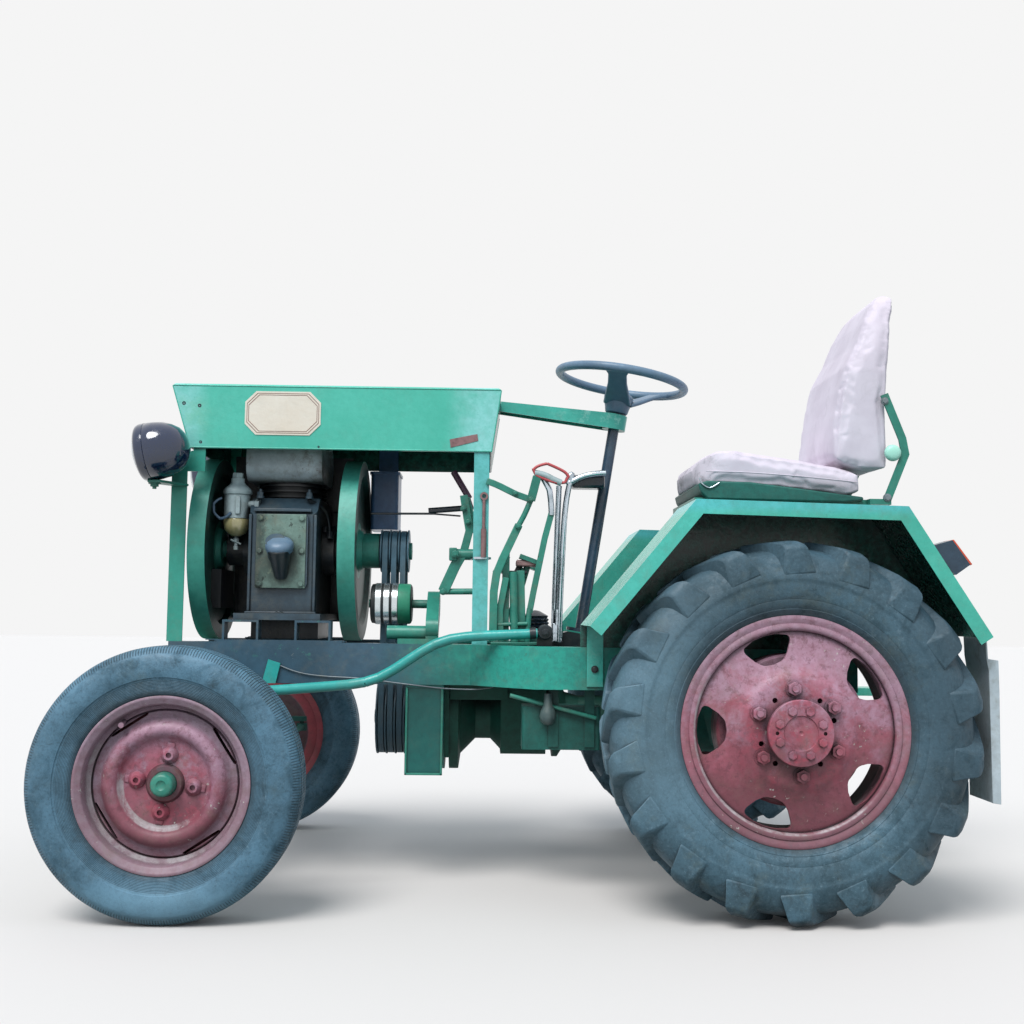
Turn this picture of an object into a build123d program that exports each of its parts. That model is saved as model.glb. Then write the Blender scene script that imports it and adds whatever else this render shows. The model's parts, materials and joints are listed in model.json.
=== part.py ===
from build123d import *
import os
from math import asin, cos, degrees, hypot, pi, radians, sin, sqrt, tan

# Home-built farm tractor, millimetres. +X is forward, +Y the tractor's left, +Z up.
# The origin is the middle of its bounding box, on the ground.

os.makedirs("parts", exist_ok=True)

# ---------------------------------------------------------------- driving dimensions
wheelbase = 1490
rear_overhang = 520              # rear axle to the tail of the mud flaps
running_fit = 0.05               # radial clearance of a shaft in its bore
bolt_gap = 0.5                   # between faces of bodies that turn past each other

# Front tyre and wheel, for a 15 inch rim
front_tyre_r = 323
front_tyre_w = 150
front_track_y = 648              # centre plane
front_bead_r = 190
front_rim_w = 124
front_flange_r = 208
front_drum_r = 115
front_side_count = 36            # flat sides of a smooth tyre

# Rear tyre and wheel, for a 20 inch truck rim
rear_tyre_r = 460                # over the lugs
rear_tyre_w = 210
rear_track_y = 605
rear_bead_r = 254
rear_rim_w = 166
rear_flange_r = 276
lug_count = 18                   # on each side of a tyre
lug_height = 30
rear_stud_r = 102.5
rear_hub_r = 78
rear_hub_face = 137              # hub flange, outside the tyre's centre plane

# Rails
rail_top = 646
rail_h = 110
rail_flange = 50
rail_t = 6
rail_y = 250                     # outer faces beside the engine
rail_wide_y = 415                # outer faces beside the rear axle

# Front axle
king_offset = 110                # kingpin, inboard of the tyre's centre plane
king_r = 14
boss_r = 27
beam_h = 60
steer_arm = 90
drop_arm_len = 110
drop_shaft_z = 573
tie_arm = 143
tie_z = 352

# Engine and drive
crank_z = 910
flywheel_r = 262
flywheel_w = 48
crank_r = 25
crank_pulley_r = 62
input_z = 430
input_pulley_r = 106
idler_r = 58
belt_t = 9
belt_w = 15
belt_pitch = 26
belt_count = 3

# Hood
hood_w = 505
hood_top = 1354
hood_bottom = 1174
sheet = 4                        # folded sheet steel

# Stations along and across the tractor
front_x = (rear_overhang + wheelbase - front_tyre_r) / 2
rear_x = front_x - wheelbase
tail_x = rear_x - rear_overhang
king_y = front_track_y - king_offset
front_z = front_tyre_r
rear_z = rear_tyre_r
engine_x = rear_x + 1311
rail_front = front_x + 110
flare_front = rear_x + 781
flare_rear = flare_front - 170
rail_rear = rear_x - 230
rail_bottom = rail_top - rail_h


# ---------------------------------------------------------------- helpers
def beside(points, distance):
    """The open polyline through points, moved to its left, its corners kept sharp."""
    normals = []
    for (x0, y0), (x1, y1) in zip(points, points[1:]):
        length = hypot(x1 - x0, y1 - y0)
        normals.append(((y0 - y1) / length, (x1 - x0) / length))
    befores = [normals[0], *normals]
    afters = [*normals, normals[-1]]
    moved = []
    for (x, y), (ax, ay), (bx, by) in zip(points, befores, afters):
        share = distance / (1 + ax * bx + ay * by)
        moved.append((x + (ax + bx) * share, y + (ay + by) * share))
    return moved


def band(points, thickness):
    """The outline of a strip that lies to the left of a polyline."""
    return [*points, *reversed(beside(points, thickness))]


def at_y(y):
    """A plane drawn in X and Z; a negative extrusion from it goes towards +Y."""
    return Plane.XZ.offset(-y)


def turned(points, centre, direction):
    """A solid of revolution: points are (along the axis, radius)."""
    across = (1, 0, 0) if direction == (0, 0, 1) else (0, 0, 1)
    plane = Plane(centre, x_dir=direction, z_dir=Vector(*direction).cross(Vector(*across)))
    with BuildPart() as made:
        with BuildSketch(plane):
            Polygon(*points, align=None)
        revolve(axis=Axis(centre, direction))
    return made.part


def tube(points, radius, bend=0.0):
    """A round bar along points: bent to one radius, or mitred where that is 0."""
    with BuildPart() as made:
        with BuildLine() as run:
            if bend:
                FilletPolyline(*points, radius=bend)
            else:
                Polyline(*points)
        with BuildSketch(Plane(origin=run.line @ 0, z_dir=run.line % 0)):
            Circle(radius)
        sweep(transition=Transition.RIGHT)
    return made.part


def faceted(profile, count):
    """A ring of flats round Z: its closed profile is (radius to a corner, height)."""
    faces = []
    for i in range(count):
        first, second = 2 * pi * i / count, 2 * pi * (i + 1) / count
        for (r0, z0), (r1, z1) in zip(profile, [*profile[1:], profile[0]]):
            corners = [
                (r0 * cos(first), r0 * sin(first), z0), (r1 * cos(first), r1 * sin(first), z1),
                (r1 * cos(second), r1 * sin(second), z1), (r0 * cos(second), r0 * sin(second), z0),
            ]
            faces.append(Face(Wire.make_polygon(corners)))
    return Solid(Shell(faces))


def save(made, label):
    made.part.label = label
    export_step(made.part, f"parts/{label}.step")


def save_both(made, label):
    """Writes a left piece and its mirror image as one node."""
    with BuildPart() as both:
        add(made.part)
        add(mirror(made.part, about=Plane.XZ, mode=Mode.PRIVATE))
    save(both, label)


def save_pair(made, label):
    """Writes a piece of the left side and its mirror image on the right."""
    save(made, f"{label}_left")
    with BuildPart() as other:
        add(mirror(made.part, about=Plane.XZ, mode=Mode.PRIVATE))
    save(other, f"{label}_right")


# ---------------------------------------------------------------- rails and cross members
rail_path = [
    (rail_front, rail_y),
    (flare_front, rail_y),
    (flare_rear, rail_wide_y),
    (rail_rear, rail_wide_y),
]

with BuildPart() as rail:
    with BuildSketch(Plane.XY.offset(rail_bottom)):
        Polygon(*band(rail_path, rail_flange), align=None)
    extrude(amount=rail_h)
    with BuildSketch(Plane.XY.offset(rail_bottom + rail_t)):
        Polygon(*band(beside(rail_path, rail_t), rail_flange), align=None)
    extrude(amount=rail_h - 2 * rail_t, mode=Mode.SUBTRACT)
save_pair(rail, "rail")

# Cross members: x, half width, height, how far below the rails' tops
cross_table = [
    (rail_front - 30, rail_y - rail_t, 80, 15),
    (flare_front + 8, rail_y - rail_t, 60, 44),
    (rail_rear + 40, rail_wide_y - rail_t, 80, 15),
]
with BuildPart() as cross_members:
    for x, half, height, drop in cross_table:
        with BuildSketch(Plane.XY.offset(rail_top - drop - height)):
            with Locations((x, 0)):
                Rectangle(40, 2 * half)
        extrude(amount=height)
        with BuildSketch(Plane.XY.offset(rail_top - drop - height + rail_t)):
            with Locations((x - rail_t, 0)):
                Rectangle(40, 2 * half)
        extrude(amount=height - 2 * rail_t, mode=Mode.SUBTRACT)
save(cross_members, "cross_members")

# ---------------------------------------------------------------- front axle
with BuildPart() as front_beam:
    with Locations((front_x, 0, front_z)):
        Box(60, 2 * king_y, beam_h)
    with Locations((front_x, king_y, front_z), (front_x, -king_y, front_z)):
        Cylinder(boss_r, beam_h + 20)
        Hole(king_r + running_fit, beam_h + 20)
save(front_beam, "front_axle_beam")

pedestal_half = 95
with BuildPart() as pedestal:
    with BuildSketch(Plane.XY.offset(rail_bottom)):
        with Locations((front_x, 0)):
            Rectangle(90, 2 * rail_y - 2)
    extrude(amount=-10)
    with BuildSketch(Plane.YZ.offset(front_x - 42)):
        Polygon(
            (-pedestal_half, rail_bottom - 10),
            (pedestal_half, rail_bottom - 10),
            (50, front_z + beam_h / 2 - 40),
            (-50, front_z + beam_h / 2 - 40),
            align=None,
        )
    extrude(amount=10)
    with BuildSketch(Plane.YZ.offset(front_x + 32)):
        Polygon(
            (-pedestal_half, rail_bottom - 10),
            (pedestal_half, rail_bottom - 10),
            (50, front_z + beam_h / 2 - 40),
            (-50, front_z + beam_h / 2 - 40),
            align=None,
        )
    extrude(amount=10)
save(pedestal, "axle_bracket")

ear_t = 20
ear_z = front_z + beam_h / 2 + 15
yoke_y = king_y + boss_r + 6
yoke_t = 16
stub_end = front_track_y + 44
with BuildPart() as knuckle:
    for z in (ear_z, 2 * front_z - ear_z - ear_t):
        with BuildSketch(Plane.XY.offset(z)):
            with Locations((front_x, king_y)):
                Circle(boss_r + 3)
            with Locations((front_x, (king_y + yoke_y + yoke_t) / 2)):
                Rectangle(54, yoke_y + yoke_t - king_y)
        extrude(amount=ear_t)
    with Locations((front_x, yoke_y + yoke_t / 2, front_z)):
        Box(70, yoke_t, 2 * (ear_z + ear_t - front_z))
    add(tube([(front_x, yoke_y + 1, front_z), (front_x, stub_end, front_z)], 20))
    king_top = drop_shaft_z + drop_arm_len - 198
    add(tube([(front_x, king_y, 2 * front_z - ear_z - ear_t), (front_x, king_y, king_top)], king_r))
    with BuildSketch(Plane.XY.offset(ear_z)):
        with Locations((front_x - tie_arm / 2, king_y)):
            Rectangle(tie_arm, 30)
        with Locations((front_x - tie_arm, king_y)):
            Circle(16)
    extrude(amount=14)
    add(tube([(front_x - tie_arm, king_y, tie_z - 12), (front_x - tie_arm, king_y, ear_z + 2)], 7))
with BuildPart() as knuckle_right:
    add(mirror(knuckle.part, about=Plane.XZ, mode=Mode.PRIVATE))
save(knuckle_right, "knuckle_right")
with BuildPart() as knuckle_left:
    add(knuckle.part)
    with BuildSketch(Plane.XY.offset(king_top - 16)):
        with Locations((front_x, king_y - steer_arm / 2)):
            Rectangle(28, steer_arm)
        with Locations((front_x, king_y), (front_x, king_y - steer_arm)):
            Circle(19)
    extrude(amount=16)
save(knuckle_left, "knuckle_left")

with BuildPart() as tie_rod:
    add(tube([(front_x - tie_arm, -king_y, tie_z - 4), (front_x - tie_arm, king_y, tie_z - 4)], 10))
    for y in (-king_y, king_y):
        with Locations((front_x - tie_arm, y, tie_z - 4)):
            Cylinder(17, 24)
            Hole(7 + running_fit if y > 0 else 7.5, 24)
save(tie_rod, "tie_rod")

# ---------------------------------------------------------------- wheels
# Each is drawn round Z, its outer side towards +Z, and set on its axle afterwards.
half_front = front_rim_w / 2
flange_t = 6


half_tyre = front_tyre_w / 2
with BuildPart() as front_tyre:
    wall = [
        (front_bead_r / cos(pi / front_side_count), half_front - flange_t - bolt_gap),
        (front_flange_r + 2, half_front - flange_t - bolt_gap), (front_tyre_r - 66, half_tyre),
        (front_tyre_r - 20, half_tyre - 9), (front_tyre_r, half_tyre - 26),
    ]
    add(faceted([*wall, *[(r, -a) for r, a in reversed(wall)]], front_side_count))

barrel_t = 6
hub_bore = 20 + running_fit
with BuildPart() as front_rim:
    with BuildSketch(Plane.XZ):
        edge = [
            (front_bead_r, half_front - flange_t), (front_flange_r, half_front - flange_t),
            (front_flange_r, half_front), (front_bead_r - barrel_t, half_front),
        ]
        Polygon(*edge, *[(r, -a) for r, a in reversed(edge)], align=None)
        # Pressed disc with its raised ring, then the brake drum behind it
        Polygon(
            (front_bead_r - barrel_t, 16), (146, 43), (112, 43), (92, 22), (hub_bore, 22),
            (hub_bore, -46), (front_drum_r, -46), (front_drum_r, 8), (front_bead_r - barrel_t, 8),
            align=None,
        )
        Polygon((0, 44), (0, 64), (26, 64), (26, 22), (hub_bore, 22), (hub_bore, 44), align=None)
    revolve(axis=Axis.Z)
    with BuildSketch(Plane.XY):
        with PolarLocations(0, 4, start_angle=33):
            SlotArc(CenterArc((0, 0), front_bead_r - barrel_t - 10, -21, 42), 12)
    extrude(amount=half_front, mode=Mode.SUBTRACT)

half_rear = rear_rim_w / 2
tread_r = rear_tyre_r - lug_height
lug_lead, lug_trail, lug_root = 60, 62, 46
with BuildPart() as lug:
    with BuildSketch(Plane.YZ.offset(tread_r - lug_root)):
        Polygon((lug_lead, 1), (lug_lead - 34, 1), (-lug_trail, rear_tyre_w / 2),
                (-lug_trail + 44, rear_tyre_w / 2), align=None)
    # The top stays low enough for its corners to lie on the tyre's radius
    extrude(amount=sqrt(rear_tyre_r ** 2 - lug_lead ** 2) - tread_r + lug_root)
    chamfer(lug.edges().group_by(Axis.Z)[-1].sort_by(Axis.X)[-1], 16)

half_tyre = rear_tyre_w / 2
with BuildPart() as rear_tyre:
    wall = [
        (rear_bead_r / cos(pi / (2 * lug_count)), half_rear - flange_t - bolt_gap),
        (rear_flange_r + 2, half_rear - flange_t - bolt_gap),
        ((rear_flange_r + tread_r) / 2, half_tyre),
        (tread_r - 12, half_tyre - 14), (tread_r, half_tyre - 34),
    ]
    add(faceted([*wall, *[(r, -a) for r, a in reversed(wall)]], 2 * lug_count))
    with PolarLocations(0, lug_count):
        add(lug.part)
    with PolarLocations(0, lug_count, start_angle=180 / lug_count):
        add(mirror(lug.part, about=Plane.XY, mode=Mode.PRIVATE))

axle_r = 25
hole_in, hole_out = rear_stud_r + 62, rear_bead_r - 19
with BuildPart() as rear_rim:
    with BuildSketch(Plane.XZ):
        edge = [
            (rear_bead_r, half_rear - flange_t), (rear_flange_r, half_rear - flange_t),
            (rear_flange_r, half_rear), (rear_bead_r - 7, half_rear),
        ]
        Polygon(*edge, *[(r, -a) for r, a in reversed(edge)], align=None)
        disc = [(rear_bead_r - 7, 40), (170, 56), (135, 76), (60, 76)]
        Polygon(*band(disc, 10), align=None)
        # Hub, its outer flange and the brake drum inside the wheel
        Polygon(
            (0, rear_hub_face - 12), (0, rear_hub_face), (rear_hub_r, rear_hub_face),
            (rear_hub_r, rear_hub_face - 14), (62, rear_hub_face - 14), (62, 66), (112, 66),
            (112, -30), (axle_r + running_fit, -30), (axle_r + running_fit, rear_hub_face - 12),
            align=None,
        )
    revolve(axis=Axis.Z)
    with BuildSketch(Plane.XY.offset(20)) as hand_holes:
        with PolarLocations(0, 5):
            Polygon((hole_in, -33), (hole_out, -57), (hole_out, 57), (hole_in, 33), align=None)
        fillet(hand_holes.vertices(), 20)
    extrude(amount=60, mode=Mode.SUBTRACT)

# A lug's leading corner stands straight down, on the ground
lug_turn = 90 - degrees(asin(lug_lead / rear_tyre_r))

# Wheels: label, piece, x, y, z, turn on the axle
wheel_table = [
    ("front_tyre", front_tyre, front_x, front_track_y, front_z, 0),
    ("front_wheel", front_rim, front_x, front_track_y, front_z, 0),
    ("rear_tyre", rear_tyre, rear_x, rear_track_y, rear_z, lug_turn),
    ("rear_wheel", rear_rim, rear_x, rear_track_y, rear_z, 0),
]
for label, piece, x, y, z, turn in wheel_table:
    axle_plane = Plane((x, y, z), x_dir=(1, 0, 0), z_dir=(0, 1, 0))
    with BuildPart() as on_axle:
        add(piece.part.moved(axle_plane.location * Rotation(0, 0, turn)))
    save_pair(on_axle, label)

# ---------------------------------------------------------------- engine
bearer_h = 54
bearer_w = 98
bearer_plate = 6
bearer_top = rail_top + bearer_plate + bearer_h
with BuildPart() as bearers:
    for side in (1, -1):
        with BuildSketch(Plane.XY.offset(rail_top)):
            with Locations((engine_x - 11, side * (rail_y - rail_flange / 2))):
                Rectangle(340, rail_flange)
        extrude(amount=bearer_plate)
        with BuildSketch(at_y(side * (rail_y - rail_flange / 2))):
            for x in (engine_x - 100, engine_x + 96):
                with Locations((x, bearer_top - bearer_h / 2)):
                    Rectangle(bearer_w, bearer_h)
                with Locations((x, bearer_top - bearer_h / 2 - 6)):
                    Rectangle(bearer_w - 12, bearer_h, mode=Mode.SUBTRACT)
        extrude(amount=rail_flange / 2, both=True)
save(bearers, "engine_bearers")

block_l, block_half, block_top = 190, 175, 1050
with BuildPart() as engine_block:
    with BuildSketch(Plane.XY.offset(bearer_top)):
        with Locations((engine_x, 0)):
            Rectangle(236, 2 * 240)
    extrude(amount=18)
    with BuildSketch(Plane.YZ.offset(engine_x - block_l / 2)):
        Polygon(
            (-block_half, bearer_top + 10), (block_half, bearer_top + 10),
            (block_half, 1000), (block_half - 50, block_top),
            (50 - block_half, block_top), (-block_half, 1000),
            align=None,
        )
    extrude(amount=block_l)
    fillet(engine_block.edges().filter_by(Axis.Z).filter_by_position(Axis.Y, 170, 180), 18)
    # Door plates on both sides
    for side in (1, -1):
        with BuildSketch(at_y(side * (block_half - 2))):
            with Locations((engine_x - 2, 897)):
                RectangleRounded(140, 206, 14)
        extrude(amount=-side * 14)
    add(tube([(engine_x + 12, block_half, 880), (engine_x + 12, block_half + 48, 925)], 27))
    # Sump between the bearers, and the cowl on the far side
    with Locations((engine_x, -25, bearer_top - 26)):
        Box(block_l, 250, 54)
    with Locations((engine_x + 16, 3 - block_half, (bearer_top + block_top - 5) / 2)):
        Box(338, 12, block_top - 5 - bearer_top)
    # Bearing housings on the crankshaft
    add(turned([(-158, 0), (-158, 48), (-130, 48), (-130, 72), (130, 72), (130, 48), (180, 48), (180, 0)],
               (engine_x, 0, crank_z), (1, 0, 0)))
    with Locations(Plane((engine_x, 0, crank_z), x_dir=(0, 1, 0), z_dir=(1, 0, 0))):
        Hole(crank_r + running_fit, 400)
save(engine_block, "engine_block")

head_h = 50
with BuildPart() as cylinder:
    fin_count = 3
    with Locations((engine_x, 0, block_top + head_h / 2)):
        Cylinder(84, head_h)
    for i in range(fin_count):
        with Locations((engine_x, 0, block_top + 9 + i * 16)):
            Cylinder(98, 5)
save(cylinder, "engine_cylinder")

tank_z = block_top + head_h
with BuildPart() as tank:
    with BuildSketch(Plane.YZ.offset(engine_x - 99)):
        with Locations((0, tank_z + 60)):
            RectangleRounded(270, 120, 45)
    extrude(amount=214)
    with Locations((engine_x + 30, 0, tank_z + 120)):
        Cylinder(26, 24, align=(Align.CENTER, Align.CENTER, Align.MIN))
save(tank, "fuel_tank")

filter_x, filter_y = engine_x + 142, 130
with BuildPart() as fuel_filter:
    add(turned(
        [(-163, 0), (-163, 6), (-128, 6), (-118, 27), (-60, 27), (-60, 36), (-8, 36), (0, 41),
         (22, 26), (22, 15), (56, 15), (56, 0)],
        (filter_x, filter_y, block_top + 14), (0, 0, 1),
    ))
    with Locations(((engine_x + block_l / 2 + filter_x) / 2, filter_y, block_top - 50)):
        Box(filter_x - engine_x - block_l / 2, 18, 20)
save(fuel_filter, "fuel_filter")

# ---------------------------------------------------------------- crankshaft, flywheels, belts
crank_front = engine_x + 245
crank_tail = engine_x - 352
flywheel_front = engine_x + 197
flywheel_rear = engine_x - 210
pulley_x = rear_x + 1008
pulley_w = belt_pitch * belt_count + 4


def flywheel(x):
    """One flywheel whose rear face is at x."""
    web, hub = 16, 55
    return turned(
        [(0, crank_r), (0, hub), (14, hub + 8), (14, flywheel_r - 52), (0, flywheel_r - 42),
         (0, flywheel_r), (flywheel_w, flywheel_r), (flywheel_w, flywheel_r - 42),
         (14 + web, flywheel_r - 52), (14 + web, hub + 8), (flywheel_w, hub), (flywheel_w, crank_r)],
        (x, 0, crank_z), (1, 0, 0),
    )


hub_len = 48
with BuildPart() as flywheels:
    for x in (flywheel_front, flywheel_rear):
        add(flywheel(x))
    add(turned(
        [(crank_tail, 0), (crank_tail, crank_r), (flywheel_rear - hub_len, crank_r),
         (flywheel_rear - hub_len, 51), (flywheel_rear + 1, 51), (flywheel_rear + 1, crank_r),
         (crank_front, crank_r), (crank_front, 0)],
        (0, 0, crank_z), (1, 0, 0),
    ))
save(flywheels, "flywheels")


def groove_profile(radius, bore, width, depth=12):
    """Half section of a V pulley, (along the axis, radius), its grooves at belt_pitch."""
    points = [(-width / 2, bore), (-width / 2, radius)]
    for i in range(belt_count):
        middle = (i - (belt_count - 1) / 2) * belt_pitch
        points += [
            (middle - 11, radius), (middle - 8, radius - depth),
            (middle + 8, radius - depth), (middle + 11, radius),
        ]
    return [*points, (width / 2, radius), (width / 2, bore)]


with BuildPart() as crank_pulley:
    add(turned(groove_profile(crank_pulley_r, crank_r, pulley_w), (pulley_x, 0, crank_z), (1, 0, 0)))
save(crank_pulley, "crank_pulley")

input_r = 20
input_tail = rear_x + 845
with BuildPart() as input_pulley:
    add(turned(groove_profile(input_pulley_r, input_r, pulley_w), (pulley_x, 0, input_z), (1, 0, 0)))
    add(turned([(input_tail, 0), (input_tail, input_r), (pulley_x + 50, input_r), (pulley_x + 50, 0)],
               (0, 0, input_z), (1, 0, 0)))
save(input_pulley, "input_pulley")

groove_depth = 12
belt_in_top = crank_pulley_r - groove_depth + bolt_gap
belt_in_low = input_pulley_r - groove_depth + bolt_gap
with BuildPart() as belts:
    for i in range(belt_count):
        x = pulley_x + (i - (belt_count - 1) / 2) * belt_pitch - belt_w / 2
        with BuildSketch(Plane.YZ.offset(x)):
            with Locations((0, crank_z)):
                Circle(belt_in_top + belt_t)
            with Locations((0, input_z)):
                Circle(belt_in_low + belt_t)
            make_hull()
        extrude(amount=belt_w)
        with BuildSketch(Plane.YZ.offset(x)):
            with Locations((0, crank_z)):
                Circle(belt_in_top)
            with Locations((0, input_z)):
                Circle(belt_in_low)
            make_hull()
        extrude(amount=belt_w, mode=Mode.SUBTRACT)
save(belts, "belts")

idler_z = 755
lean = asin((belt_in_low - belt_in_top) / (crank_z - input_z))
belt_side = (belt_in_top + belt_t) / cos(lean) + (crank_z - idler_z) * tan(lean)
idler_y = belt_side + (idler_r + bolt_gap) / cos(lean)
idler_w = 115
idler_x = rear_x + 1006
idler_shaft_r = 12
with BuildPart() as idler:
    half = idler_w / 2
    idler_outline = [(-half, idler_shaft_r + running_fit), (-half, idler_r - 4), (-half + 4, idler_r)]
    for middle in (0, 20, 40):
        idler_outline += [(middle - 7, idler_r), (middle - 5, idler_r - 3),
                          (middle + 5, idler_r - 3), (middle + 7, idler_r)]
    idler_outline += [(half - 4, idler_r), (half, idler_r - 4), (half, idler_shaft_r + running_fit)]
    add(turned(idler_outline, (idler_x, idler_y, idler_z), (1, 0, 0)))
save(idler, "belt_idler")

bracket_x = rear_x + 870
with BuildPart() as idler_bracket:
    add(tube([(bracket_x + 5, idler_y, idler_z), (idler_x + half + 6, idler_y, idler_z)], idler_shaft_r))
    with BuildSketch(Plane.YZ.offset(bracket_x)):
        with Locations((idler_y, idler_z)):
            Circle(36)
        with Locations((rail_y - 25, 690)):
            Circle(30)
        make_hull()
    extrude(amount=34)
    with BuildSketch(Plane.XY.offset(rail_top)):
        with Locations((bracket_x + 45, rail_y - rail_flange / 2)):
            Rectangle(130, rail_flange)
    extrude(amount=14)
    with Locations((bracket_x + 17, rail_y - 25, rail_top + 27)):
        Box(34, 40, 40)
    add(tube([(bracket_x + 20, rail_y - 25, 676), (bracket_x + 140, rail_y - 25, 676)], 19))
save(idler_bracket, "idler_bracket")

# ---------------------------------------------------------------- clutch cradle, gearbox, rear axle
cradle_x0, cradle_x1, cradle_r = rear_x + 853, rear_x + 955, 147
with BuildPart() as cradle:
    for x, width, inner in (
        (cradle_x0, cradle_x1 - cradle_x0, cradle_r - 8),
        (cradle_x0, 8, cradle_r - 34),
        (cradle_x1 - 8, 8, cradle_r - 34),
    ):
        with BuildSketch(Plane.YZ.offset(x)):
            for r, mode in ((cradle_r, Mode.ADD), (inner, Mode.SUBTRACT)):
                with Locations((0, input_z)):
                    Circle(r, mode=mode)
                with Locations((0, input_z + 100)):
                    Rectangle(2 * r, 200, mode=mode)
            with Locations((0, rail_bottom + 100)):
                Rectangle(600, 200, mode=Mode.SUBTRACT)
        extrude(amount=width)
    for side in (1, -1):
        with BuildSketch(Plane.XY.offset(rail_bottom - 8)):
            with Locations(((cradle_x0 + cradle_x1) / 2, side * (cradle_r + rail_y - 10) / 2)):
                Rectangle(cradle_x1 - cradle_x0, rail_y - 10 - cradle_r + 4)
        extrude(amount=8)
    # Bearing plate round the input shaft
    with BuildSketch(Plane.YZ.offset(cradle_x0 + 30)):
        with Locations((0, input_z)):
            Circle(cradle_r - 7)
            Circle(input_r + running_fit, mode=Mode.SUBTRACT)
    extrude(amount=30)
save(cradle, "clutch_cradle")

box_top = 530
steer_box_x = rear_x + 582
with BuildPart() as gearbox:
    add(turned(
        [(rear_x + 840, 0), (rear_x + 840, 146), (rear_x + 814, 146), (rear_x + 808, 103),
         (rear_x + 766, 60), (rear_x + 723, 60), (rear_x + 694, 90), (rear_x + 545, 90),
         (rear_x + 545, 110), (rear_x + 530, 110), (rear_x + 508, 76), (rear_x + 471, 66),
         (rear_x + 170, 66), (rear_x + 135, 92), (rear_x + 135, 0)],
        (0, 0, input_z), (1, 0, 0),
    ))
    with BuildSketch(Plane.YZ.offset(rear_x + 566)):
        with Locations((0, (334 + box_top) / 2)):
            RectangleRounded(196, box_top - 334, 22)
    extrude(amount=128)
save(gearbox, "gearbox")

axle_tube_r = 42
hub_inner = rear_track_y - 60
with BuildPart() as rear_axle:
    add(turned(
        [(-hub_inner - 140, 0), (-hub_inner - 140, 25), (5 - hub_inner, 25), (5 - hub_inner, 70),
         (20 - hub_inner, 70), (20 - hub_inner, axle_tube_r), (-190, axle_tube_r + 10), (-125, 95),
         (-70, 130), (70, 130), (125, 95), (190, axle_tube_r + 10), (hub_inner - 20, axle_tube_r),
         (hub_inner - 20, 70), (hub_inner - 5, 70), (hub_inner - 5, 25), (hub_inner + 140, 25),
         (hub_inner + 140, 0)],
        (rear_x, 0, rear_z), (0, 1, 0),
    ))
    add(turned([(0, 0), (0, 92), (135, 92), (135, 0)], (rear_x, 0, input_z), (1, 0, 0)))
    for side in (1, -1):
        with Locations((rear_x, side * (rail_wide_y - 32), (rear_z + rail_bottom) / 2 + 6)):
            Box(110, 76, rail_bottom - rear_z - 12)
save(rear_axle, "rear_axle")

# ---------------------------------------------------------------- hood and its posts
slant_front, slant_rear = 55, 25
hood_front = rear_x + 1614
hood_rear = rear_x + 704


def hood_side(bottom):
    """The hood's side outline, its end walls carried on down to this height."""
    share = (hood_top - bottom) / (hood_top - hood_bottom)
    return [
        (hood_front - slant_front * share, bottom), (hood_front, hood_top),
        (hood_rear, hood_top), (hood_rear + slant_rear * share, bottom),
    ]


with BuildPart() as hood:
    with BuildSketch(at_y(-hood_w / 2)):
        Polygon(*hood_side(hood_bottom), align=None)
    extrude(amount=-hood_w)
    chamfer(hood.edges().group_by(Axis.Z)[-1], 8)
    with BuildSketch(at_y(sheet - hood_w / 2)):
        Polygon(*beside(hood_side(hood_bottom - 30), sheet), align=None)
    extrude(amount=2 * sheet - hood_w, mode=Mode.SUBTRACT)
save(hood, "hood")

post = 42
inside_y = hood_w / 2 - sheet
front_post_x = flywheel_front + flywheel_w + 8
rear_post_x = hood_rear + slant_rear + sheet + 3
with BuildPart() as posts:
    for x, top in ((front_post_x, 1150), (rear_post_x, 1240)):
        for side in (1, -1):
            with BuildSketch(Plane.XY.offset(rail_top)):
                with Locations((x + post / 2, side * (inside_y - post / 2))):
                    Rectangle(post, post)
                with Locations((x + post / 2 - 5, side * (inside_y - post / 2 - 5))):
                    Rectangle(post, post, mode=Mode.SUBTRACT)
            extrude(amount=top - rail_top)
    for side in (1, -1):
        with BuildSketch(at_y(side * inside_y)):
            Polygon(
                (front_post_x - 48, 1110), (front_post_x + post, 1110),
                (front_post_x + post, 1150), (front_post_x - 16, 1168),
                (front_post_x - 16, 1240), (front_post_x - 48, 1240),
                align=None,
            )
        extrude(amount=side * 5)
save(posts, "hood_posts")

# ---------------------------------------------------------------- headlamps
lamp_r, lamp_l, lamp_z, lamp_y = 80, 148, 1160, 330
lamp_face = front_x + 210
with BuildPart() as headlamp:
    with BuildSketch(Plane((lamp_face, lamp_y, lamp_z), x_dir=(1, 0, 0), z_dir=(0, -1, 0))):
        bowl = [(-lamp_l * sin(radians(a)), (lamp_r - 3) * cos(radians(a))) for a in (90, 60, 30)]
        Polygon(*bowl, (-8, lamp_r), (4, lamp_r), (9, 0), align=None)
    revolve(axis=Axis((lamp_face, lamp_y, lamp_z), (1, 0, 0)))
    # Bracket from the front post
    with BuildSketch(Plane.XY.offset(lamp_z - lamp_r - 12)):
        Polygon(
            (front_post_x + 2, inside_y), (front_post_x + 40, inside_y), (lamp_face - 58, lamp_y - 20),
            (lamp_face - 58, lamp_y + 20), (lamp_face - 98, lamp_y + 20),
            align=None,
        )
    extrude(amount=6)
    with Locations((lamp_face - 78, lamp_y, lamp_z - lamp_r + 10)):
        Cylinder(9, 40)
save_both(headlamp, "headlamps")

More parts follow.
